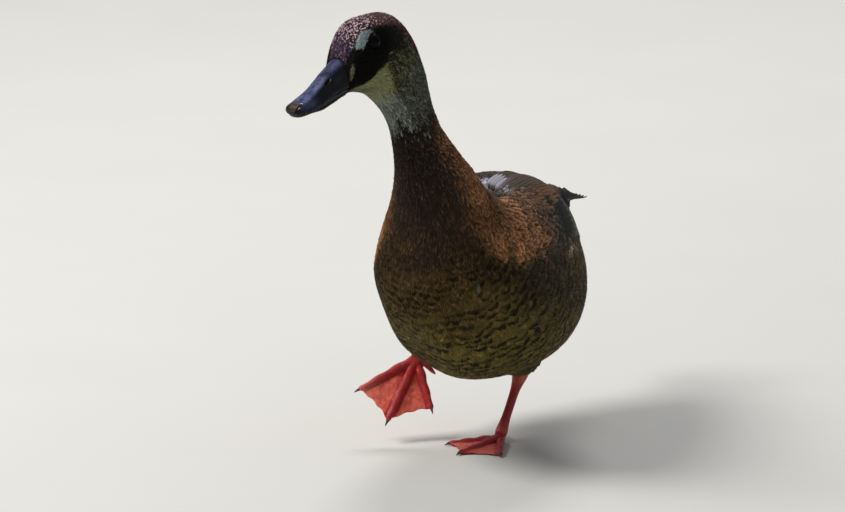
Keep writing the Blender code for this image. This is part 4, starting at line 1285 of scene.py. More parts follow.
def make_camera():
    data = bpy.data.cameras.new("camera")
    cam = bpy.data.objects.new("camera", data)
    bpy.context.scene.collection.objects.link(cam)
    place = AIM + BACK * DISTANCE - RIGHT * ((480 - 422.5) / LENS_SCALE) + UP * ((261 - 256) / LENS_SCALE)
    cam.location = Vector(place)
    cam.rotation_mode = "QUATERNION"
    cam.rotation_quaternion = Vector(-BACK).to_track_quat("-Z", "Y")
    data.sensor_width = 36.0
    data.lens = DISTANCE * LENS_SCALE * 36.0 / 845.0
    data.clip_start, data.clip_end = 0.05, 200.0
    bpy.context.scene.camera = cam


def area_light(name, place, aim, size, power, colour=(1, 1, 1)):
    data = bpy.data.lights.new(name, "AREA")
    data.shape = "DISK"
    data.size = size
    data.energy = power
    data.color = colour
    obj = bpy.data.objects.new(name, data)
    bpy.context.scene.collection.objects.link(obj)
    obj.location = place
    obj.rotation_mode = "QUATERNION"
    obj.rotation_quaternion = (Vector(aim) - Vector(place)).to_track_quat("-Z", "Y")


def make_studio():
    bm = bmesh.new()
    bmesh.ops.create_grid(bm, x_segments=8, y_segments=8, size=30.0)
    mesh = bpy.data.meshes.new("studio_floor")
    bm.to_mesh(mesh)
    bm.free()
    floor = bpy.data.objects.new("studio_floor", mesh)
    bpy.context.scene.collection.objects.link(floor)
    mesh.materials.append(MATERIALS["floor"])
    floor.location.z = -0.0002
    world = bpy.data.worlds.new("studio")
    bpy.context.scene.world = world
    world.use_nodes = True
    back = world.node_tree.nodes["Background"]
    back.inputs[0].default_value = (0.86, 0.87, 0.88, 1)
    back.inputs[1].default_value = 0.34
    area_light("key", (-1.25, -0.55, 1.75), (0, 0, 0.14), 0.95, 41, (1.0, 0.965, 0.90))
    area_light("rim", (-0.3, 1.5, 1.6), (0, 0, 0.16), 0.7, 20, (1.0, 0.98, 0.95))
    area_light("fill", (1.9, -1.5, 0.9), (0, 0, 0.12), 1.4, 2.5, (0.94, 0.97, 1.0))
    scene = bpy.context.scene
    scene.view_settings.view_transform = "Standard"
    scene.view_settings.look = "None"
    scene.view_settings.exposure = 0.0


make_camera()
make_studio()

# ---------------------------------------------------------------- skin


def grid_faces(nt, na, flip=False):
    i, j = np.meshgrid(np.arange(nt - 1), np.arange(na), indexing="ij")
    i, j = i.ravel(), j.ravel()
    k = (j + 1) % na
    f = np.stack([i * na + j, i * na + k, (i + 1) * na + k, (i + 1) * na + j], 1)
    return f[:, ::-1] if flip else f


def closed_tube(rows):
    """Vertices and faces of a closed tube through rings (n, m, 3), with a fan over each end."""
    n, m = rows.shape[:2]
    verts = np.vstack([rows.reshape(-1, 3), rows[0].mean(0)[None], rows[-1].mean(0)[None]])
    quads = grid_faces(n, m)
    j = np.arange(m)
    k = (j + 1) % m
    first = np.stack([np.full(m, n * m), k, j], 1)
    last = np.stack([np.full(m, n * m + 1), (n - 1) * m + j, (n - 1) * m + k], 1)
    a, b, c = verts[quads[:, 0]], verts[quads[:, 1]], verts[quads[:, 2]]
    vol = (a * np.cross(b, c)).sum()
    if vol < 0:
        quads, first, last = quads[:, ::-1], first[:, ::-1], last[:, ::-1]
    return verts, [quads, np.vstack([first, last])]


def unit(v):
    v = np.asarray(v, float)
    return v / np.linalg.norm(v)


FOOT_JOINT = {1: np.array([8.5, 11.0, 4.6]), -1: np.array([-38.4, 11.3, 43.0])}
ANKLE = {1: np.array([13.5, 32.5, 34.6]), -1: np.array([-34.2, 41.0, 58.5])}
THIGH_TOP = {1: np.array([19.0, 8.0, 58.0]), -1: np.array([-27.0, 20.0, 70.0])}
THIGH = {
    1: ((0.0, 15.0), (0.25, 15.0), (0.5, 13.0), (0.7, 10.0), (0.85, 7.2), (0.95, 5.6)),
    -1: ((0.0, 13.0), (0.25, 13.0), (0.5, 11.5), (0.7, 9.5), (0.85, 7.4), (0.96, 5.6)),
}


def thigh_surface(side, out=0.0, rows=90, round_=360):
    """The feathered thigh as a Surface whose t runs from 1 at the top down to 0 at the ankle."""
    a, k = ANKLE[side], THIGH_TOP[side]
    f = np.linspace(0, 0.96, rows)
    r = np.interp(f, [q[0] for q in THIGH[side]], [q[1] for q in THIGH[side]]) - 2.6 * step(f, 0.35, 0.8)
    d = unit(a - k)
    s = unit(np.array([1.0, 0, 0]) - d * d[0])
    g = np.cross(d, s)
    ang = np.arange(round_) / round_ * 2 * np.pi
    ring = np.cos(ang)[None, :, None] * s + np.sin(ang)[None, :, None] * g * 1.15
    p = (k + (a - k) * f[:, None])[:, None] + ring * (r + out)[:, None, None] + SHIFT
    return Surface(np.linspace(0, 1, rows), p[::-1])


def make_skin():
    nt, na = 300, 168
    t = np.linspace(-0.35, T_TOP - 0.02, nt)
    ang = np.arange(na) / na * 2 * np.pi
    tt, aa = np.meshgrid(t, ang, indexing="ij")
    v = LOFT.look(tt, aa, 6)
    depth = inset(tt)
    p = v[..., :3] - v[..., 3:6] * depth[..., None]
    # the eye's socket: the skin sinks round the ball
    for side in (1, -1):
        d = np.linalg.norm(v[..., :3] - EYES[side], axis=-1)
        p = p - v[..., 3:6] * (2.4 * step(d, 4.4, 3.3))[..., None]
    verts, faces = closed_tube(p)
    skin = mesh_object("duck_skin", verts, faces)
    for side in (1, -1):
        s = thigh_surface(side)
        ring = s.p[::-1][::4, ::10]
        n = s.n[::-1][::4, ::10]
        tv, tf = closed_tube(ring - n * 1.5)
        thigh = mesh_object("thigh_tool", tv, tf)
        m = skin.modifiers.new("join", "BOOLEAN")
        m.operation, m.solver, m.object = "UNION", "EXACT", thigh
        bpy.context.view_layer.update()
        done = bpy.data.meshes.new_from_object(skin.evaluated_get(bpy.context.evaluated_depsgraph_get()))
        skin.modifiers.clear()
        skin.data = done
        bpy.data.objects.remove(thigh)
    return skin


def eye_axes(side):
    """Where the eye looks, the way to the bill across it, and up."""
    angle = math.radians(EYE_UP if side > 0 else 180 - EYE_UP)
    v = LOFT.look(np.array([EYE_T]), np.array([angle]))[0]
    out = unit(v[3:6])
    ahead = unit(v[6:9] - out * (v[6:9] @ out))
    return out, ahead, np.cross(out, ahead) * side


def lid_rows(side):
    """The rim of bare lid round the eye: rings from just inside the ball's surface, over the rim and down into the skin."""
    out, ahead, up = eye_axes(side)
    if up[2] < 0:
        up = -up
    psi = np.arange(96) / 96 * 2 * np.pi
    rows = []
    almond = 1 + 0.10 * np.cos(2 * psi) - 0.05 * np.sin(3 * psi)
    # angle from the gaze at which each ring meets the ball, and its height over the ball
    for ang, h in ((0.91, -0.30), (0.91, 0.04), (0.93, 0.18), (0.98, 0.28), (1.05, 0.28), (1.13, 0.10), (1.22, -0.30), (1.25, -0.9)):
        g = ang * almond
        r = EYE_R + h
        ring = (
            EYES[side]
            + np.outer(np.cos(g) * r, out)
            + np.outer(np.sin(g) * np.cos(psi) * r, ahead)
            + np.outer(np.sin(g) * np.sin(psi) * r, up)
        )
        rows.append(ring)
    return np.array(rows)


def finish_skin(skin):
    """Finds the coat's own markings for the skin: the colour at each of its vertices."""
    base = np.zeros(len(skin.data.vertices) * 3, np.float32)
    skin.data.vertices.foreach_get("co", base)
    p = base.reshape(-1, 3) / MM
    tree_t = LOFT.t[::4]
    pts = LOFT.p[::4, ::4]
    tree = KDTree(pts.shape[0] * pts.shape[1])
    flat = pts.reshape(-1, 3)
    for i, q in enumerate(flat):
        tree.insert(q, i)
    tree.balance()
    near = np.array([tree.find(q)[1] for q in p])
    t = tree_t[near // pts.shape[1]]
    a = ANGLES[::4][near % pts.shape[1]]
    col, _ = paint(t, a, p, 0.5 * np.ones(len(t)))
    return p, col


skin = make_skin()
skin_p, skin_col = finish_skin(skin)
put(skin, "col", skin_col)
skin.data.materials.append(MATERIALS["skin"])
lids = []
for side in (1, -1):
    rows = lid_rows(side)
    m = rows.shape[1]
    quads = grid_faces(len(rows), m)
    inner = np.arange(m)
    obj = mesh_object(f"lid_{side}", rows.reshape(-1, 3), [quads])
    back_rows = np.vstack([rows[0], rows[-1]])
    closing = np.stack([inner, (inner + 1) % m, (len(rows) - 1) * m + (inner + 1) % m, (len(rows) - 1) * m + inner], 1)[:, ::-1]
    bpy.data.objects.remove(obj)
    mid = rows.mean((0, 1))
    faces = np.vstack([quads, closing])
    vv = rows.reshape(-1, 3)
    # outward: away from the ring's own middle circle
    ring_mid = rows.mean(0)
    fa = vv[faces[:, 0]]
    n = np.cross(vv[faces[:, 1]] - fa, vv[faces[:, 2]] - fa)
    c = vv[faces].mean(1)
    core = ring_mid[faces[:, 0] % m]
    if ((c - core) * n).sum() < 0:
        faces = faces[:, ::-1]
    obj = mesh_object(f"lid_{side}", vv, [faces])
    put(obj, "col", np.zeros((len(vv), 3)) + rgb(30, 24, 22))
    obj.data.materials.append(MATERIALS["skin"])
    obj.data.materials.append(MATERIALS["lid"])
    obj.data.polygons.foreach_set("material_index", np.ones(len(obj.data.polygons), np.int32))
    lids.append(obj)
skin.data.materials.append(MATERIALS["lid"])
with bpy.context.temp_override(active_object=skin, object=skin, selected_objects=[skin, *lids], selected_editable_objects=[skin, *lids]):
    bpy.ops.object.join()
skin.data.shade_smooth()
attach(skin, "root")
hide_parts("trunk", "neck", "head", "thigh_left", "thigh_right")

# ---------------------------------------------------------------- eyes


def make_eye(side, word):
    out, ahead, up = eye_axes(side)
    g = np.linspace(0.001, np.pi - 0.001, 49)
    psi = np.arange(72) / 72 * 2 * np.pi
    gg, pp = np.meshgrid(g, psi, indexing="ij")
    bulge = 0.0 + 0.18 * step(gg, 0.75, 0.2)  # the cornea stands a little proud
    r = (EYE_R - 0.02 + bulge)[..., None]
    d = np.cos(gg)[..., None] * out + (np.sin(gg) * np.cos(pp))[..., None] * ahead + (np.sin(gg) * np.sin(pp))[..., None] * up
    verts, faces = closed_tube(EYES[side] + d * r)
    obj = mesh_object(f"eyeball_{word}", verts, faces)
    gaze = np.concatenate([gg.ravel(), [0.0, np.pi]])
    spin = np.concatenate([np.cos(pp).ravel() * 3 + np.sin(pp).ravel() * 7, [0.0, 0.0]])
    put(obj, "gaze", gaze)
    put(obj, "spin", spin)
    obj.data.materials.append(MATERIALS["eye"])
    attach(obj, "root")
    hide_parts(f"eye_{word}")


make_eye(1, "left")
make_eye(-1, "right")

# ---------------------------------------------------------------- bill

BILL_L = 34.5
BILL_STRETCH = 1.035
BILL = Spline(
    [0, 5.2, 11.5, 17.5, 23.7, 29.3, 32.7, 34.5],
    [
        (13.6, 5.4, 8.3, 7.3),
        (10.4, 5.2, 7.9, 6.9),
        (7.6, 4.7, 7.5, 6.4),
        (5.8, 4.0, 7.5, 6.2),
        (4.8, 3.2, 7.9, 6.3),
        (3.9, 2.4, 7.7, 5.9),
        (2.9, 1.7, 5.8, 4.2),
        (1.4, 0.9, 2.3, 1.6),
    ],
)
BILL_DOWN = math.radians(15)
MOUTH = -0.46


def bill_rows(upper, rings=120, segments=112):
    t = at("bill_base")
    dy, dz, vy, vz = BODY(t)[0][:4]
    mid = np.array([0.0, (dy + vy) / 2, (dz + vz) / 2])
    up = np.array([0.0, (dy - vy) / 2, (dz - vz) / 2])
    ahead = np.array([0.0, -math.cos(BILL_DOWN), -math.sin(BILL_DOWN)])
    above = np.array([0.0, -math.sin(BILL_DOWN), math.cos(BILL_DOWN)])
    left = np.array([1.0, 0, 0])
    start, tilt = mid + up * MOUTH, up / np.linalg.norm(up)
    rows, masks, ridges = [], [], []
    droop = lambda x: 0.5 * smooth((x - 6) / 20) + 0.3 * smooth((x - 24) / 10)
    ang = np.arange(segments) * 2 * np.pi / segments
    c, s = np.cos(ang), np.sin(ang)
    for i in range(rings):
        f = i / (rings - 1)
        x = BILL_L * (1 - (1 - f) ** 1.35)
        if not upper:
            x *= 0.955
        high, low, wide, narrow = BILL(x)[0]
        high += 0.7 * math.sin(math.pi * min(1.0, x / 27.0))
        low -= 1.0 * math.sin(math.pi * min(1.0, x / 32.0)) * step(x, 3.0, 15.0)
        low += 1.6 * math.exp(-(((x - 15.5) / 6.5) ** 2))
        share = np.clip(1 - x / 9.0, 0, 1)
        rise_ = unit(above * (1 - share) + tilt * share)
        edge = 1.0 * np.sin(np.pi * np.clip((x - 6) / 33, 0, 1)) ** 2
        body_fade = step(x, 0.0, 2.5)
        mask = np.zeros((segments, 3))
        if upper:
            # the culmen stands as a rounded ridge; the sides sink a little under the nostrils
            hollow = 0.10 * step(x, 3, 9) * step(x, 24, 15) * np.exp(-(((s - 0.52) / 0.26) ** 2)) * (s > 0)
            half = wide * np.sign(c) * np.abs(c) ** 0.8 * (1 - hollow)
            lip = np.exp(-(((s - 0.02) / 0.10) ** 2)) * body_fade
            half = half + np.sign(c) * 0.16 * lip
            squash = np.where(s > 0, high, 0.55)
            top = squash * np.sign(s) * np.abs(s) ** 0.95
            # nail: a raised shield at the tip
            nail_w = np.clip((x - 28.6) / 5.0, 0, 1)
            nail = step(np.abs(c) * wide, 3.0 - 0.6 * nail_w, 2.5 - 0.6 * nail_w) * (s > 0) * step(x, 28.6, 29.6)
            ditch = np.exp(-(((np.abs(c) * wide - 3.0) / 0.35) ** 2)) * (s > 0) * step(x, 29.0, 30.0)
            top = top + 0.30 * nail * step(x, 34.5, 33) - 0.12 * ditch
            top = top - 0.9 * step(x, 31.5, 34.5) * (s > 0.0) * 0.6
            # nostrils: long ovals high on the sides
            q = np.hypot((x - 10.2) / 2.3, (np.abs(c) * wide - 4.2) / 0.85)
            hole = step(q, 1.08, 0.62) * (s > 0)
            rimm = np.exp(-(((q - 1.3) / 0.22) ** 2)) * (s > 0)
            sink = 1.5 * hole - 0.10 * rimm
            top = top - sink * 0.75
            half = half - np.sign(c) * sink * 0.55
            mask[:, 0] = nail
            mask[:, 1] = step(q, 0.95, 0.7) * (s > 0)
            mask[:, 2] = lip
            lift = 0.70
        else:
            half = narrow * np.sign(c) * np.abs(c) ** 0.85
            # the soft skin between the two branches of the lower half sinks a little
            gutter = 0.9 * step(np.abs(c), 0.55, 0.2) * (s < 0) * step(x, 26, 20) * step(x, 1, 5)
            top = np.where(s > 0, 0.0, low * (1 + 0.18 * step(x, 2, 9))) * np.sign(s) * np.abs(s) ** 0.95 + gutter
            lift = -0.15
            mask[:, 2] = np.exp(-(((s + 0.05) / 0.18) ** 2))
        ring = start + ahead * x * BILL_STRETCH + np.outer(half, left) + np.outer(top + lift - edge - droop(x), rise_)
        rows.append(ring)
        masks.append(mask)
        # ridge mask: the culmen's own colour and a painted highlight, stronger towards the front, with a painted
        # highlight on the upper sides near the tip
        painted_tip_highlight = 0.45 * step(x, 19, 25) * step(x, 33.5, 30) * np.exp(-(((s - 0.45) / 0.30) ** 2))
        ridges.append(np.maximum(step(s, 0.80, 0.985) * step(x, 30.5, 26) * (0.55 + 0.45 * step(x, 8, 18)), painted_tip_highlight) if upper else 0 * s)
    normal = np.cross(left, tilt)
    normal /= np.linalg.norm(normal)
    if normal @ ahead < 0:
        normal = -normal
    first = rows[0]
    rows[0] = first - np.outer((first - start) @ normal, normal) + normal * 0.02
    rows = np.array(rows)
    p = posed(np.full(len(rows), t), rows) + SHIFT
    return p, np.array(masks), np.array(ridges)


def make_bill(upper, node):
    p, masks, ridges = bill_rows(upper)
    verts, faces = closed_tube(p)
    obj = mesh_object(f"bill_{'upper' if upper else 'lower'}_horn", verts, faces)
    put(obj, "mask", np.vstack([masks.reshape(-1, 3), masks[0].mean(0)[None] * 0, masks[-1].mean(0)[None]]))
    put(obj, "ridge", np.concatenate([ridges.reshape(-1), [0.0, 0.0]]))
    obj.data.materials.append(MATERIALS["bill"])
    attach(obj, "root")
    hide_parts(node)


make_bill(True, "bill_upper")
make_bill(False, "bill_lower")

# ---------------------------------------------------------------- legs and feet

TOE_L = {"inner": 29.0, "middle": 39.0, "outer": 36.0}
TOE_SPREAD = {"inner": 36.0, "middle": 0.0, "outer": -34.0}
TOES_IN = 18.0
RAISED = {
    "inner": np.array([14.1, -13.5, -26.0]),
    "middle": np.array([-3.0, -35.0, -21.0]),
    "outer": np.array([-27.9, -26.3, -14.1]),
}
TARSUS = (
    (-0.11, 2.4, 2.6),
    (-0.07, 3.9, 4.2),
    (0.0, 4.5, 4.9),
    (0.1, 4.0, 4.5),
    (0.25, 2.8, 3.4),
    (0.5, 2.3, 2.8),
    (0.75, 2.4, 2.8),
    (0.9, 3.0, 3.1),
    (1.0, 3.3, 3.2),
    (1.045, 2.9, 2.8),
)


def foot_axes(side):
    if side > 0:
        out = {}
        for toe, spread in TOE_SPREAD.items():
            a = math.radians(TOES_IN + spread)
            out[toe] = np.array([-math.sin(a), -math.cos(a), 0.0])
        return out, np.array([0.0, 0.0, 1.0])
    out = {toe: unit(v) for toe, v in RAISED.items()}
    n = np.cross(out["inner"], out["outer"])
    n = unit(n if n[2] > 0 else -n)
    return {toe: unit(v - n * (v @ n)) for toe, v in out.items()}, n


def toe_line(side, toe, r, axes, normal):
    r = np.asarray(r, float)
    drop = FOOT_JOINT[1][2]
    curl = 0.0 * r if side > 0 else -2.2 * (r / 40.0) ** 2
    return FOOT_JOINT[side] + r[..., None] * axes[toe] + (curl - drop)[..., None] * normal


def tube_rows(points, half_w, half_h, across, segments=28):
    """Rings along a chain of points. half_w lies along across, half_h square to it."""
    d = np.gradient(points, axis=0)
    d /= np.linalg.norm(d, axis=1)[:, None]
    s = across - d * (d @ across)[:, None]
    s /= np.linalg.norm(s, axis=1)[:, None]
    f = np.cross(d, s)
    a = np.arange(segments) / segments * 2 * np.pi
    return (
        points[:, None]
        + np.cos(a)[None, :, None] * (half_w[:, None] * 1.0)[..., None] * s[:, None]
        + np.sin(a)[None, :, None] * half_h[:, None, None] * f[:, None]
    )


def make_leg(side, word):
    axes, normal = foot_axes(side)
    verts_all, faces3, faces4, base = [], [], [], 0
    chains = []  # (points, direction that the front or top faces)

    def take(rows):
        nonlocal base
        v, (q, tri) = closed_tube(rows)
        verts_all.append(v)
        faces4.append(q + base)
        faces3.append(tri + base)
        base += len(v)

    j, a = FOOT_JOINT[side], ANKLE[side]
    f = np.linspace(-0.11, 1.045, 80)
    rad = Spline([q[0] for q in TARSUS], [q[1:] for q in TARSUS])(f)
    rad[0] *= 0.35
    rad[-1] *= 0.5
    pts = a + (j - a) * f[:, None]
    take(tube_rows(pts, rad[:, 0], rad[:, 1], np.array([1.0, 0, 0])))
    shin = unit(j - a)
    front = unit(np.array([0, -1.0, 0.0]) - shin * (-shin[1]))
    chains.append((pts, front, 1.0))
    # hind toe
    if side > 0:
        way, hb = np.array([-2.2, 12.0, -3.1]), j + np.array([-1.0, 1.2, 0.6])
    else:
        way, hb = np.array([8.0, 3.2, -9.0]), j + np.array([1.0, 1.2, -0.8])
    g = np.linspace(0, 1, 30)
    hp = hb + way * g[:, None]
    hr = np.interp(g, [0, 0.4, 0.8, 1.0], [1.5, 1.55, 1.15, 0.45])
    take(tube_rows(hp, hr, hr, np.array([0.7, 0, 0.7])))
    chains.append((hp, unit(-np.cross(way, [1, 0, 0])), 0.6))
    order = ["inner", "middle", "outer"]
    lines = {}
    for toe in order:
        length = TOE_L[toe]
        r = np.linspace(0.0, length, 70)
        fr = r / length
        stout = 2.35 if side > 0 else 2.75
        w = stout * (1 - fr) + 1.35 * fr + 0.30 * np.cos(fr * 6 * math.pi) * (1 - 0.6 * fr)
        h = 4.3 * (1 - fr) + 2.5 * fr + 0.38 * np.cos(fr * 6 * math.pi) * (1 - 0.6 * fr)
        end = np.sqrt(np.clip(1 - ((fr - 0.955) / 0.045).clip(0, 1) ** 2, 0.05, 1))
        start_ = np.sqrt(np.clip(fr / 0.04, 0.1, 1))
        w, h = w * end * start_, h * end * start_
        sole = toe_line(side, toe, r, axes, normal)
        mid = sole + normal * (h / 2)[:, None]
        across = unit(np.cross(axes[toe], normal))
        take(tube_rows(mid, w, h / 2, across, 26))
        chains.append((sole + normal * h[:, None] * 0.5, normal, 1.0))
        lines[toe] = (across, length)
    # webs: sheets from toe to toe, thicker where they leave the toe, with soft folds
    for first, second in (("inner", "middle"), ("middle", "outer")):
        nf, ng = 46, 40
        fr, gg = np.meshgrid(np.linspace(0.08, 0.985, nf), np.linspace(0, 1, ng), indexing="ij")
        p = toe_line(side, first, fr * TOE_L[first], axes, normal)
        q = toe_line(side, second, fr * TOE_L[second], axes, normal)
        mid = p * (1 - gg[..., None]) + q * gg[..., None]
        hub = j - normal * FOOT_JOINT[1][2]
        pull = (0.075 if side > 0 else 0.045) * 4 * gg * (1 - gg) * fr**1.5 + 0.010 * np.sin(gg * 19 + fr * 3) * fr**3
        mid = mid + (hub - mid) * pull[..., None]
        sag = 0.50 * np.sin(np.pi * gg) * fr
        fold = 0.22 * np.sin(gg * 13 + 2.0 * np.sin(fr * 4 + (2 if first == "inner" else 0))) * np.sin(np.pi * gg) * fr
        fold = fold + 0.12 * np.sin(fr * 26 + gg * 6) * np.sin(np.pi * gg) * fr
        if side < 0:
            # a crease where the lifted web hangs slack
            fold = fold + 0.75 * np.exp(-(((fr - 0.62 + 0.25 * gg) / 0.06) ** 2)) * np.sin(np.pi * gg) ** 1.5 * (1 if first == "inner" else 0.35)
        thick = 0.42 + 0.5 * (np.abs(gg - 0.5) * 2) ** 4
        centre_h = 1.12 - sag + fold
        low_h = centre_h - thick
        if side > 0:
            low_h = np.maximum(low_h, 0.02)
        top = mid + normal * (centre_h + thick)[..., None]
        bot = mid + normal * low_h[..., None]
        v = np.vstack([top.reshape(-1, 3), bot.reshape(-1, 3)])
        n0 = nf * ng
        i, k = np.meshgrid(np.arange(nf - 1), np.arange(ng - 1), indexing="ij")
        i, k = i.ravel(), k.ravel()
        up_f = np.stack([i * ng + k, (i + 1) * ng + k, (i + 1) * ng + k + 1, i * ng + k + 1], 1)
        down_f = up_f[:, ::-1] + n0
        ring = (
            [(x, 0) for x in range(nf)]
            + [(nf - 1, y) for y in range(1, ng)]
            + [(x, ng - 1) for x in range(nf - 2, -1, -1)]
            + [(0, y) for y in range(ng - 2, 0, -1)]
        )
        idx = np.array([x * ng + y for x, y in ring])
        nxt = np.roll(idx, -1)
        side_f = np.stack([idx, nxt, nxt + n0, idx + n0], 1)
        quads = np.vstack([up_f, down_f, side_f[:, ::-1]])
        aa_, bb_, cc_ = v[quads[:, 0]], v[quads[:, 1]], v[quads[:, 2]]
        if (aa_ * np.cross(bb_, cc_)).sum() < 0:
            quads = quads[:, ::-1]
        verts_all.append(v)
        faces4.append(quads + base)
        base += len(v)
    v = np.vstack(verts_all) + SHIFT
    raw = mesh_object(f"leg_{word}_raw", v, [np.vstack(faces4), np.vstack(faces3)])
    m = raw.modifiers.new("one_skin", "REMESH")
    m.mode = "VOXEL"
    m.voxel_size = 0.00036
    m.use_smooth_shade = True
    s = raw.modifiers.new("soften", "SMOOTH")
    s.factor, s.iterations = 0.5, 4
    bpy.context.view_layer.update()
    mesh = bpy.data.meshes.new_from_object(raw.evaluated_get(bpy.context.evaluated_depsgraph_get()))
    bpy.data.objects.remove(raw)
    obj = bpy.data.objects.new(f"leg_and_foot_{word}", mesh)
    bpy.context.scene.collection.objects.link(obj)
    co = np.zeros(len(mesh.vertices) * 3, np.float32)
    mesh.vertices.foreach_get("co", co)
    p = co.reshape(-1, 3) / MM - SHIFT
    no = np.zeros(len(mesh.vertices) * 3, np.float32)
    mesh.vertices.foreach_get("normal", no)
    no = no.reshape(-1, 3)
    best = np.full(len(p), 1e9)
    along = np.zeros(len(p))
    topside = np.zeros(len(p))
    near_mid = np.zeros((len(p), 3))
    for n, (pts, face, width) in enumerate(chains):
        tree = KDTree(len(pts))
        for i, q in enumerate(pts):
            tree.insert(q, i)
        tree.balance()
        seg = np.concatenate([[0], np.cumsum(np.linalg.norm(np.diff(pts, axis=0), axis=1))])
        found = [tree.find(q)[1:] for q in p]
        idx = np.array([x[0] for x in found])
        dist = np.array([x[1] for x in found])
        better = dist < best
        best = np.where(better, dist, best)
        along = np.where(better, seg[idx] + n * 40 + (0.0 if n else 0.0), along)
        topside = np.where(better, step(no @ face, 0.15, 0.6) * width, topside)
        near_mid[better] = pts[idx[better]]
    web = step(best, 2.6, 3.6)
    put(obj, "limb", np.stack([along, topside * (1 - web), web], 1))
    obj.data.materials.append(MATERIALS["leg"])
    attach(obj, "root")
    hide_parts(f"leg_{word}", f"foot_{word}")
    print(obj.name, "triangles", 2 * len(mesh.polygons))
    # claws
    for toe in order:
        axis = axes[toe]
        across = unit(np.cross(axis, normal))
        tip = toe_line(side, toe, np.array([TOE_L[toe]]), axes, normal)[0]
        start_p = tip + axis * (-0.9) + normal * 1.25
        g = np.linspace(0, 1, 16)
        pts = start_p + np.outer(3.7 * g, axis) - np.outer(0.95 * g * g, normal)
        r = 1.05 * (1 - g) ** 0.75 + 0.06
        rows = tube_rows(pts, r * 0.85, r * 1.05, across, 18)
        cv, cf = closed_tube(rows + SHIFT)
        cl = mesh_object(f"claw_horn_{word}_{toe}", cv, cf)
        cl.data.materials.append(MATERIALS["claw"])
        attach(cl, "root")
        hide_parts(f"claw_{word}_{toe}")


make_leg(1, "left")
make_leg(-1, "right")

# ---------------------------------------------------------------- the coat

VANE_TINY = Vane(3, 2, pointed=0.25, root=0.5, widest=0.5)
VANE_SMALL = Vane(4, 2, pointed=0.45, ragged=0.14, root=0.4, widest=0.5)
VANE_BODY = Vane(6, 4, pointed=0.18, ragged=0.08, root=0.4, widest=0.55)
VANE_TUFT = Vane(5, 2, pointed=0.28, ragged=0.10, root=0.4, widest=0.55)
VANE_LONG = Vane(24, 10, pointed=0.35, ragged=0.015, root=0.45, widest=0.6)
VANE_TAIL = Vane(24, 8, pointed=0.12, ragged=0.0, root=0.45, widest=0.7)
VANE_SCAPULAR = Vane(12, 6, pointed=0.30, ragged=0.02, root=0.45, widest=0.6)
BARB = Barb()


def over_wing(t, a):
    return rise(t, a) * 0.92


def plumage_part(vane, t, a, length, half, low, high, kind="vane", **more):
    n = len(t)
    rnd = RNG.random(n)
    pos, tt, aa, local = lay_vanes(LOFT, vane, t, a, length, half, low, high, **more)
    k = int(np.argmin(np.abs(vane.a - (0.8 if kind == "vane" else 0.5)) + np.abs(vane.b)))
    tip_t, tip_a = tt[:, k], aa[:, k]
    tip_p = LOFT.look(tip_t, tip_a, 3)
    col, pat = paint(tip_t, tip_a, tip_p, rnd, kind)
    # the crown's glints, a painted highlight, taken out of the pattern
    painted_glint = np.where(tip_t > 11.5, pat[:, 0], 0.0)
    pat[:, 0] -= painted_glint
    # painted shade: barbs, and the fine feathers of the head and neck, darker towards the root where the row above
    # covers them
    painted_root_shade = (0.72 + 0.38 * vane.a) if kind == "barb" else np.ones(len(vane.a))
    fine_part = step(tip_t, 9.2, 10.6)[:, None]
    painted_root_shade = painted_root_shade[None] * (1 - fine_part) + (0.35 + 0.75 * step(vane.a, 0.30, 0.80))[None] * fine_part
    col = col[:, None, :] * painted_root_shade[..., None]
    # painted highlight: each glint laid as a pale pink spot on the outer part of the feather
    painted_highlight_spot = painted_glint[:, None, None] * step(vane.a, 0.50, 0.75)[None, :, None]
    col = col * (1 - painted_highlight_spot) + rgb(238, 208, 218) * painted_highlight_spot
    place = None
    if tip_t.min() < 9.5:
        jog = (rnd - 0.5)[:, None] * (0.34 if kind == "barb" else 0.22)
        if kind == "barb":
            place = bar_place(tip_t, tip_a, tip_p, 0)[:, None, :] + np.zeros(pos.shape)
            place[..., 0] += bar_rows(LOFT.look(tt, aa, 3)) - bar_rows(tip_p)[:, None] + jog
            place[..., 1] += (columns_at(tt, aa) - columns_at(tip_t, tip_a)[:, None]) * BAR_COLUMNS
        else:
            place = bar_place(tt, aa, LOFT.look(tt, aa, 3), jog)
    return [vane, pos, col, pat[:, None, :], local, body_uv(t, a), rnd, None, place]


def on_crown(t, a):
    return step(np.degrees(np.arctan2(np.sin(a), np.abs(np.cos(a)))), 38, 48) * step(t, 13.0, 13.6)


def head_coat(crown_part):
    thin = 0.72 if crown_part else 0.98
    t, a = feather_rows(17.98, 12.9, thin=thin)
    d = eye_distance(LOFT.look(t, a, 3))
    keep = (d > 4.7) & ((on_crown(t, a) > 0.5) == crown_part)
    t, a, d = t[keep], a[keep], d[keep]
    pit = pitch_at(t, a) * thin
    size = np.where(d < 7.5, 0.75, 1.0)
    n = len(t)
    length = pit * (2.0 if crown_part else 2.4) * size * RNG.uniform(0.9, 1.15, n)
    return plumage_part(
        VANE_TINY, t, a, length, pit * 0.62 * size, -inset(t) * 0.9, -0.12 + RNG.normal(0, 0.04, n),
        yaw=RNG.normal(0, 0.10, n), crown=0.08, thick=0.10, roll=RNG.normal(0, 0.08, n),
    )


def neck_coat():
    t, a = feather_rows(12.98, 8.9, thin=0.94)
    pit = pitch_at(t, a) * 0.90
    n = len(t)
    return plumage_part(
        VANE_SMALL, t, a, pit * 2.5 * RNG.uniform(0.9, 1.15, n), pit * 0.60, -inset(t) * 0.9, -0.15 + RNG.normal(0, 0.10, n),
        yaw=RNG.normal(0, 0.10, n), crown=0.12, thick=0.14, roll=RNG.normal(0, 0.07, n),
    )


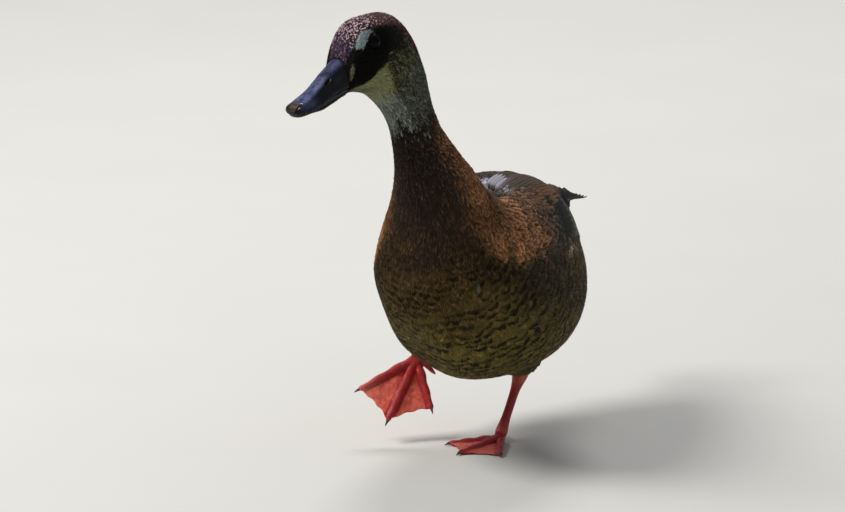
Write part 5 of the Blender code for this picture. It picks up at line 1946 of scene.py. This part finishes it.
def body_coat():
    t, a = feather_rows(9.0, -0.75)
    phi = np.degrees(np.arctan2(np.sin(a), np.abs(np.cos(a))))
    hidden = under_wing(t, a, phi, 0.75)
    t, a = t[~hidden], a[~hidden]
    pit = pitch_at(t, a)
    n = len(t)
    rear = step(t, 1.5, 0.0)
    length = pit * (2.4 + 0.9 * rear) * RNG.uniform(0.92, 1.12, n)
    half = pit * 0.60 * (1 - 0.15 * rear)
    return plumage_part(
        VANE_BODY, t, a, length, half, -inset(t) * 0.85, -0.16 + RNG.normal(0, 0.09, n),
        yaw=RNG.normal(0, 0.09, n), crown=0.30, thick=0.20, roll=RNG.normal(0, 0.04, n), lift=over_wing,
    ), t, a


def rufous_coat(t_from, t_to):
    """Small dark-hearted feathers over the breast's sides, the shoulders and the hind neck."""
    t, a = feather_rows(t_from, t_to, thin=0.70, width=0.92, jitter=0.16)
    phi = np.degrees(np.arctan2(np.sin(a), np.abs(np.cos(a))))
    p = LOFT.look(t, a, 3)
    share = rufous_share(t, phi, p) * step(t, 4.0, 4.5) * 0.92
    keep = RNG.random(len(t)) < share
    t, a = t[keep], a[keep]
    n = len(t)
    slope = np.linalg.norm(LOFT.look(t, a)[:, 6:9], axis=1)
    pit = pitch_at(t, a) * 0.70
    t = t + RNG.uniform(-0.22, 0.22, n) * pit / slope
    part = plumage_part(
        VANE_TUFT, t, a, pit * 2.2 * RNG.uniform(0.85, 1.25, n), pit * 0.56 * RNG.uniform(0.85, 1.15, n), -0.5, 0.05 + RNG.normal(0, 0.12, n),
        yaw=RNG.normal(0, 0.13, n), crown=0.34, thick=0.16, roll=RNG.normal(0, 0.06, n), curl=RNG.normal(0, 0.06, n), lift=over_wing,
    )
    # painted shade: the rufous feathers darker towards the root, where the row above covers them
    part[2] = part[2] * (0.45 + 0.65 * step(VANE_TUFT.a, 0.45, 0.95))[None, :, None]
    return part


def under_wing(t, a, phi, share):
    """Where the long feathers of the folded wing lie over the coat."""
    inside_wing = rise(t, a) / 2.2
    low_part = (t < 4.75) & (phi < 46)
    top_part = (t < 4.95) & (phi >= 46)
    return (inside_wing > share) & (low_part | top_part) & (t > 1.5)


def split_part(part, mask):
    vane, pos, col, pat, local, uv, rnd, shine, place = part
    pick = lambda q: q[mask] if getattr(q, "shape", (0,))[0] == len(mask) else q
    return [vane, pos[mask], pick(col), pick(pat), local[mask], uv[mask], rnd[mask], None if shine is None else pick(shine), None if place is None else pick(place)]


def loose_barbs(t_from, t_to, thin, rate, width, stand, spread=0.14, least=4.6, cover=None):
    """Loose barbs over the vanes, which break up their edges. rate is their length in rows."""
    t, a = feather_rows(t_from, t_to, thin=thin, width=0.55, jitter=0.3)
    n = len(t)
    pit = pitch_at(t, a)
    slope = np.linalg.norm(LOFT.look(t, a)[:, 6:9], axis=1)
    t = t + RNG.uniform(-0.5, 0.5, n) * pit * thin / slope
    t = np.clip(t, t_to, min(t_from, 17.99))
    keep = eye_distance(LOFT.look(t, a, 3)) > least
    phi = np.degrees(np.arctan2(np.sin(a), np.abs(np.cos(a))))
    keep &= ~under_wing(t, a, phi, 0.6)
    if cover is not None:
        keep &= cover(t, a, phi, n)
    t, a = t[keep], a[keep]
    n = len(t)
    pit = pitch_at(t, a)
    return plumage_part(
        BARB, t, a, pit * rate * RNG.uniform(0.7, 1.25, n), width * pit * RNG.uniform(0.7, 1.25, n), -0.30, stand + RNG.normal(0, 0.08, n),
        kind="barb", yaw=RNG.normal(0, spread, n), crown=0.0, thick=0.16, lift=over_wing,
    ), t, a, phi[keep]


def thigh_coat(side):
    surface = thigh_surface(side)
    ts, as_ = [], []
    length = np.linalg.norm(ANKLE[side] - THIGH_TOP[side]) * 0.96
    pit = 3.4
    for k in range(int(length / pit)):
        t = 1 - (k + 0.5) * pit / length
        ring = surface.look(np.array([t]), np.linspace(0, 2 * np.pi, 49), 3).reshape(-1, 3)
        around = np.linalg.norm(np.diff(ring, axis=0), axis=1).sum()
        m = max(8, int(around / (pit * 0.9)))
        as_.append((np.arange(m) + 0.5 * (k % 2) + RNG.normal(0, 0.08, m)) / m * 2 * np.pi)
        ts.append(np.full(m, t))
    t, a = np.concatenate(ts), np.concatenate(as_)
    keep = t > 0.04
    t, a = t[keep], a[keep]
    n = len(t)
    rnd = RNG.random(n)
    reach = pit * 2.3 * RNG.uniform(0.9, 1.1, n)
    reach = np.minimum(reach, (t + 0.05) * length)
    pos, tt, aa, local = lay_vanes(surface, VANE_SMALL, t, a, reach, np.full(n, pit * 0.62), -1.0, 0.15 + RNG.normal(0, 0.12, n), yaw=RNG.normal(0, 0.1, n), crown=0.2, thick=0.16)
    col = COLOURS["thigh"][None] * np.exp(0.35 * (rnd - 0.5))[:, None]
    pat = np.stack([0.6 * (rnd > 0.3), 0.2 + 0 * rnd, 0 * rnd], 1)
    uv = np.stack([0.02 + 0.10 * np.mod(a / (2 * np.pi), 1) + (0.5 if side > 0 else 0.35), 0.30 + 0.06 * t], -1)
    place = np.stack([(1 - tt) * length / 4.6 + (rnd - 0.5)[:, None] * 0.2, aa / (2 * np.pi) * 12, 0 * tt], -1)
    return [VANE_SMALL, pos, col[:, None, :], pat[:, None, :], local, uv, rnd, None, place]


coat_piece("coat_head", [head_coat(False)], MATERIALS["head"])
coat_piece("coat_crown", [head_coat(True)], MATERIALS["head"])
coat_piece("coat_neck", [neck_coat()], MATERIALS["body"])
body, body_t, body_a = body_coat()
body_phi = np.degrees(np.arctan2(np.sin(body_a), np.abs(np.cos(body_a))))
regions = {
    "breast": lambda t, phi: t > 6.3,
    "belly": lambda t, phi: (t <= 6.3) & (phi < -22),
    "flanks": lambda t, phi: (t <= 6.3) & (phi >= -22) & (phi < 40),
    "back": lambda t, phi: (t <= 6.3) & (phi >= 40),
}
for name, choose in regions.items():
    coat_piece(f"coat_{name}", [split_part(body, choose(body_t, body_phi))], MATERIALS["body"])
stray = plumage_part(
    VANE_BODY, np.array([7.42, 7.38]), np.radians([-41.0, -44.5]), np.array([6.5, 5.0]), np.array([1.0, 0.8]), -0.2, 0.35,
    yaw=np.array([-0.35, -0.1]), crown=0.2, thick=0.16,
)
# the two stray feathers grey, darker towards the root: painted shade
stray[2] = np.zeros(stray[1].shape) + rgb(96, 90, 80) * (0.5 + 0.5 * VANE_BODY.a)[None, :, None]
stray[3] = np.zeros((2, 1, 3))
coat_piece("coat_shoulders", [rufous_coat(8.6, 3.9), stray], MATERIALS["body"])
coat_piece("coat_hindneck", [rufous_coat(11.3, 8.6)], MATERIALS["body"])
coat_piece("coat_thighs", [thigh_coat(1), thigh_coat(-1)], MATERIALS["body"])

# loose barbs: (piece, slot, from, to, spacing in rows, length in rows, half width in rows, height of the tips)
BARBS = (
    ("head_front", "head_plumage", 17.97, 15.3, 0.72, 0.80, 0.12, -0.04),
    ("head_rear", "head_plumage", 15.3, 12.9, 0.68, 0.85, 0.11, -0.02),
    ("neck", "neck_plumage", 12.9, 9.6, 0.56, 0.72, 0.065, 0.03),
    ("breast_high", "plumage", 9.6, 7.6, 0.40, 0.95, 0.034, 0.05),
    ("breast_low", "plumage", 7.6, 6.3, 0.32, 0.85, 0.028, 0.05),
    ("middle", "plumage", 6.3, 4.2, 0.32, 0.80, 0.027, 0.05),
    ("rear", "plumage", 4.2, 0.2, 0.42, 0.90, 0.034, 0.05),
)


def thinner_on_rufous(t, a, phi, n):
    return RNG.random(n) > np.maximum(0.62 * rufous_share(t, phi, LOFT.look(t, a, 3)), 0.70 * on_crown(t, a))


for name, slot_name, t_from, t_to, thin, rate, width, stand in BARBS:
    part, t, a, phi = loose_barbs(t_from, t_to, thin, rate, width, stand, cover=thinner_on_rufous)
    coat_piece(f"barbs_{name}", [part], MATERIALS["barb"])

# ---------------------------------------------------------------- long feathers of the wing and tail


def long_vanes(vane, place, root, tip, half, lift_root, lift_tip, thick=0.35, camber=0.5, sweep=0.0):
    """Vanes given in a flat map: root and tip are (n, 2) map points, place(u, v, height) gives the point in mm.
    half is the half width in map units of v. The upper edge is b = 1."""
    n = len(root)
    a, b = vane.a[None], vane.b[None]
    u = root[:, :1] + (tip[:, :1] - root[:, :1]) * a
    v = root[:, 1:] + (tip[:, 1:] - root[:, 1:]) * a + np.asarray(sweep) * a * (1 - a) + b * vane.w[None] * half[:, None]
    h = lift_root[:, None] + (lift_tip - lift_root)[:, None] * a - camber * b * b * vane.w[None] + vane.top[None] * thick * (1 - 0.6 * a) / 2
    h = h + 0.12 * np.exp(-((b / 0.10) ** 2)) * (vane.top[None] > 0) * (1 - a)
    return place(u, v, h)


WING_COLOURS = {
    "tertial": rgb(74, 56, 44),
    "tertial_edge": rgb(120, 92, 66),
    "covert": rgb(17, 20, 12),
    "covert_edge": rgb(44, 40, 28),
    "pale": rgb(190, 190, 212),
    "green": rgb(8, 44, 30),
    "blue": rgb(14, 26, 58),
    "white": rgb(205, 200, 188),
    "black": rgb(22, 19, 19),
    "primary": rgb(20, 17, 16),
    "scapular": rgb(112, 76, 50),
}


def flight_part(vane, pos, col, pat, uv, rnd, shine):
    n, m = pos.shape[:2]
    start = pos[:, :1]
    along = np.linalg.norm(pos - pos[:, [int(np.argmin(vane.a + np.abs(vane.b)))]], axis=-1)
    across = np.broadcast_to(vane.b[None] * 6.0, (n, m))
    return [vane, pos, col, pat, np.stack([along, across], -1), uv, rnd, shine, None]


def mixc(a, b, m):
    return a * (1 - m[..., None]) + b * m[..., None]


def wing_coat(side):
    parts = []
    place = lambda u, v, h: wing_point(u, v, h, side)
    vane = VANE_LONG
    A, B = vane.a[None], vane.b[None]

    def add(root, tip, half, lr, lt, colour, pat=(0, 0, 0), shine=0.0, camber=0.45, sweep=0.0, which=vane):
        root, tip = np.array(root, float), np.array(tip, float)
        n = len(root)
        full = np.ones(n)
        pos = long_vanes(which, place, root, tip, np.asarray(half) * full, np.asarray(lr) * full, np.asarray(lt) * full, camber=camber, sweep=sweep)
        rnd = RNG.random(n)
        col = colour * (0.92 + 0.16 * rnd)[:, None, None] if colour.ndim == 3 else np.broadcast_to(colour, (n, len(which.a), 3))
        uv = np.stack([0.05 + 0.9 * root[:, 0], 0.02 + 0.44 * np.clip(root[:, 1], 0, 1) + (0.5 if side > 0 else 0.0)], -1)
        parts.append(flight_part(which, pos, col, np.broadcast_to(np.array(pat, float), (n, len(which.a), 3)), uv, rnd, np.broadcast_to(shine, (n, len(which.a)))))

    # primaries: dark, nested, reaching past the rump
    k = np.arange(7)
    root = np.stack([0.44 + 0.012 * k, 0.30 + 0.02 * k], 1)
    tip = np.stack([0.78 + 0.022 * k, 0.34 + 0.035 * k], 1)
    col = np.zeros((7, len(vane.a), 3)) + WING_COLOURS["primary"]
    col = mixc(col, WING_COLOURS["primary"] * 1.7, step(np.abs(B), 0.8, 1.0) * np.ones((7, 1)))
    add(root, tip, 0.17 - 0.008 * k, -1.1 - 0.16 * k, -0.2 - 0.12 * k, col, shine=0.10)
    # secondaries: the green and blue mirror with a black bar and a white trailing edge
    k = np.arange(8)
    root = np.stack([0.14 + 0.0 * k, 0.02 + 0.055 * k], 1)
    tip = np.stack([0.60 + 0.022 * k, 0.06 + 0.060 * k], 1)
    green = np.zeros((8, len(vane.a), 3)) + WING_COLOURS["green"]
    col = mixc(green, WING_COLOURS["blue"], step(k, 3, 6)[:, None] * np.ones((1, len(vane.a))))
    col = mixc(col, WING_COLOURS["black"], step(A, 0.74, 0.79) * np.ones((8, 1)))
    white = step(A + 0.0 * B, 0.88, 0.92) * (k < 3)[:, None]
    col = mixc(col, WING_COLOURS["white"], white)
    shine = 0.40 * step(A, 0.78, 0.73) * np.ones((8, 1))
    add(root, tip, 0.085, -0.9 + 0.10 * k, 0.10 + 0.10 * k, col, shine=shine)
    # greater coverts over the secondaries' roots, dark with a green gloss, in two rows
    for u0, u1, count, up in ((0.20, 0.385, 10, 0.0), (0.12, 0.30, 10, 0.35)):
        k = np.arange(count)
        root = np.stack([u0 + 0.0 * k, 0.0 + 0.056 * k], 1)
        tip = np.stack([u1 + 0.006 * k, 0.015 + 0.058 * k], 1)
        col = np.zeros((count, len(vane.a), 3)) + WING_COLOURS["covert"]
        col = mixc(col, WING_COLOURS["covert_edge"], 0.7 * step(A + 0.1 * B * B, 0.90, 0.99) * np.ones((count, 1)))
        add(root, tip, 0.062, -0.7 + 0.06 * k + up, 0.25 + 0.06 * k + up, col, shine=0.05)
    # tertials: long, brown, the innermost on top
    k = np.arange(6)
    root = np.stack([0.20 + 0.0 * k, 0.44 + 0.085 * k], 1)
    tip = np.stack([0.86 - 0.034 * k, 0.46 + 0.075 * k], 1)
    col = np.zeros((6, len(vane.a), 3)) + WING_COLOURS["tertial"]
    col = mixc(col, WING_COLOURS["black"], 0.7 * step(B, 0.1, -0.5) * step(k, 3, 0)[:, None])
    col = mixc(col, WING_COLOURS["tertial_edge"], 0.75 * step(np.abs(B) + 0.8 * step(A, 0.9, 1.0), 0.80, 0.98) * np.ones((6, 1)))
    add(root, tip, 0.125, -0.3 + 0.16 * k, 0.25 + 0.14 * k, col, shine=0.04)
    # scapulars: shorter pointed feathers that fall from the back over the wing's upper edge
    rows = []
    for r, (u0, u1, count, low_v, high_v) in enumerate(
        ((0.38, 0.60, 14, 0.60, 1.12), (0.31, 0.52, 15, 0.57, 1.13), (0.25, 0.45, 16, 0.52, 1.14), (0.19, 0.385, 17, 0.48, 1.15), (0.13, 0.32, 18, 0.44, 1.16))
    ):
        v = np.linspace(low_v, high_v, count)
        for i, q in enumerate(v):
            rows.append((u0 + 0.010 * (i % 2), q + 0.03, u1 + 0.02 * RNG.random() - 0.04 * abs(i / count - 0.3), q - 0.02, 0.45 + 0.13 * r + 0.013 * i))
    rows = np.array(rows)
    n = len(rows)
    brown = step(rows[:, 1], 0.62, 0.80)
    A, B = VANE_SCAPULAR.a[None], VANE_SCAPULAR.b[None]
    col = np.zeros((n, len(VANE_SCAPULAR.a), 3)) + mixc(WING_COLOURS["scapular"][None] * np.ones((n, 1)), COLOURS["back"], brown)[:, None, :]
    col = col * np.exp(0.3 * (RNG.random(n) - 0.5))[:, None, None]
    # painted highlight: a blue-white sheen painted on a few feathers at the inner edge, near the mantle
    painted_highlight_spot = 0.95 * step(np.hypot((rows[:, 2] - 0.285) / 0.040, (rows[:, 3] - 1.06) / 0.11), 1.1, 0.7)
    end = step(np.hypot((rows[:, 2] - 0.52) / 0.04, (rows[:, 3] - 0.84) / 0.07), 1.1, 0.7)
    col = mixc(col, WING_COLOURS["pale"], (painted_highlight_spot * (0.55 + 0.45 * RNG.random(n)))[:, None] * step(np.abs(B), 1.05, 0.75) * step(A, 0.2, 0.5))
    col = mixc(col, rgb(140, 132, 120), 0.8 * end[:, None] * step(A, 0.6, 0.85))
    add(rows[:, :2], rows[:, 2:4], 0.036, rows[:, 4] - 0.50, rows[:, 4] + 0.06, col, pat=(0, 0.30, 0.12), camber=0.22, which=VANE_SCAPULAR)
    return parts


def tail_place(x, y, h):
    """x mm behind the vent, y mm to the left, h mm above the middle of the tail's thickness."""
    z, w, th = np.moveaxis(TAIL(np.ravel(np.clip(x, 0, TAIL_L)))[:, :3].reshape(np.shape(x) + (3,)), -1, 0)
    lateral = np.clip(y / np.maximum(w, 1), -1, 1)
    drop = TAIL_FAN * smooth(x / 30) * np.minimum(1, w / 13) + 2.4 * smooth((x - 30) / 20) - 2.0 * np.exp(-(((x - 20) / 14) ** 2))
    p = np.stack([y, 109.5 + x, z - drop * lateral**2 + h * 0.8], -1)
    flat = p.reshape(-1, 3)
    return (posed(np.zeros(len(flat)), flat) + SHIFT).reshape(p.shape)


def tail_coat():
    vane = VANE_TAIL
    k = np.array([-6, 6, -5, 5, -4, 4, -3, 3, -2, 2, -1, 1, 0.0])
    q = np.abs(k) / 6
    n = len(k)
    root = np.stack([np.full(n, 0.0), k * 0.7], 1)
    tip = np.stack([52.8 - 5.5 * q**2, k / 6 * 13.8], 1)
    height = 0.8 - 0.24 * np.abs(k)
    pos = long_vanes(vane, tail_place, root, tip, 4.6 - 1.6 * q, height + 1.2, height - 0.1, camber=0.3, thick=0.35, sweep=(-11.0 * k / 6)[:, None])
    rnd = RNG.random(n)
    col = np.zeros((n, len(vane.a), 3)) + rgb(17, 14, 13)
    col = mixc(col, rgb(34, 28, 24), step(np.abs(vane.b[None]), 0.8, 1.0) * np.ones((n, 1)))
    uv = np.stack([0.5 + k / 16, np.full(n, 0.5)], -1)
    return [flight_part(vane, pos, col, np.zeros((n, len(vane.a), 3)), uv, rnd, np.full((n, len(vane.a)), 0.0))]


for side, word in ((1, "left"), (-1, "right")):
    obj = coat_piece(f"wing_feathers_{word}", wing_coat(side), MATERIALS["flight"])
    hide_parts(f"wing_{word}")
obj = coat_piece("tail_feathers", tail_coat(), MATERIALS["flight"])
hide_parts("tail")
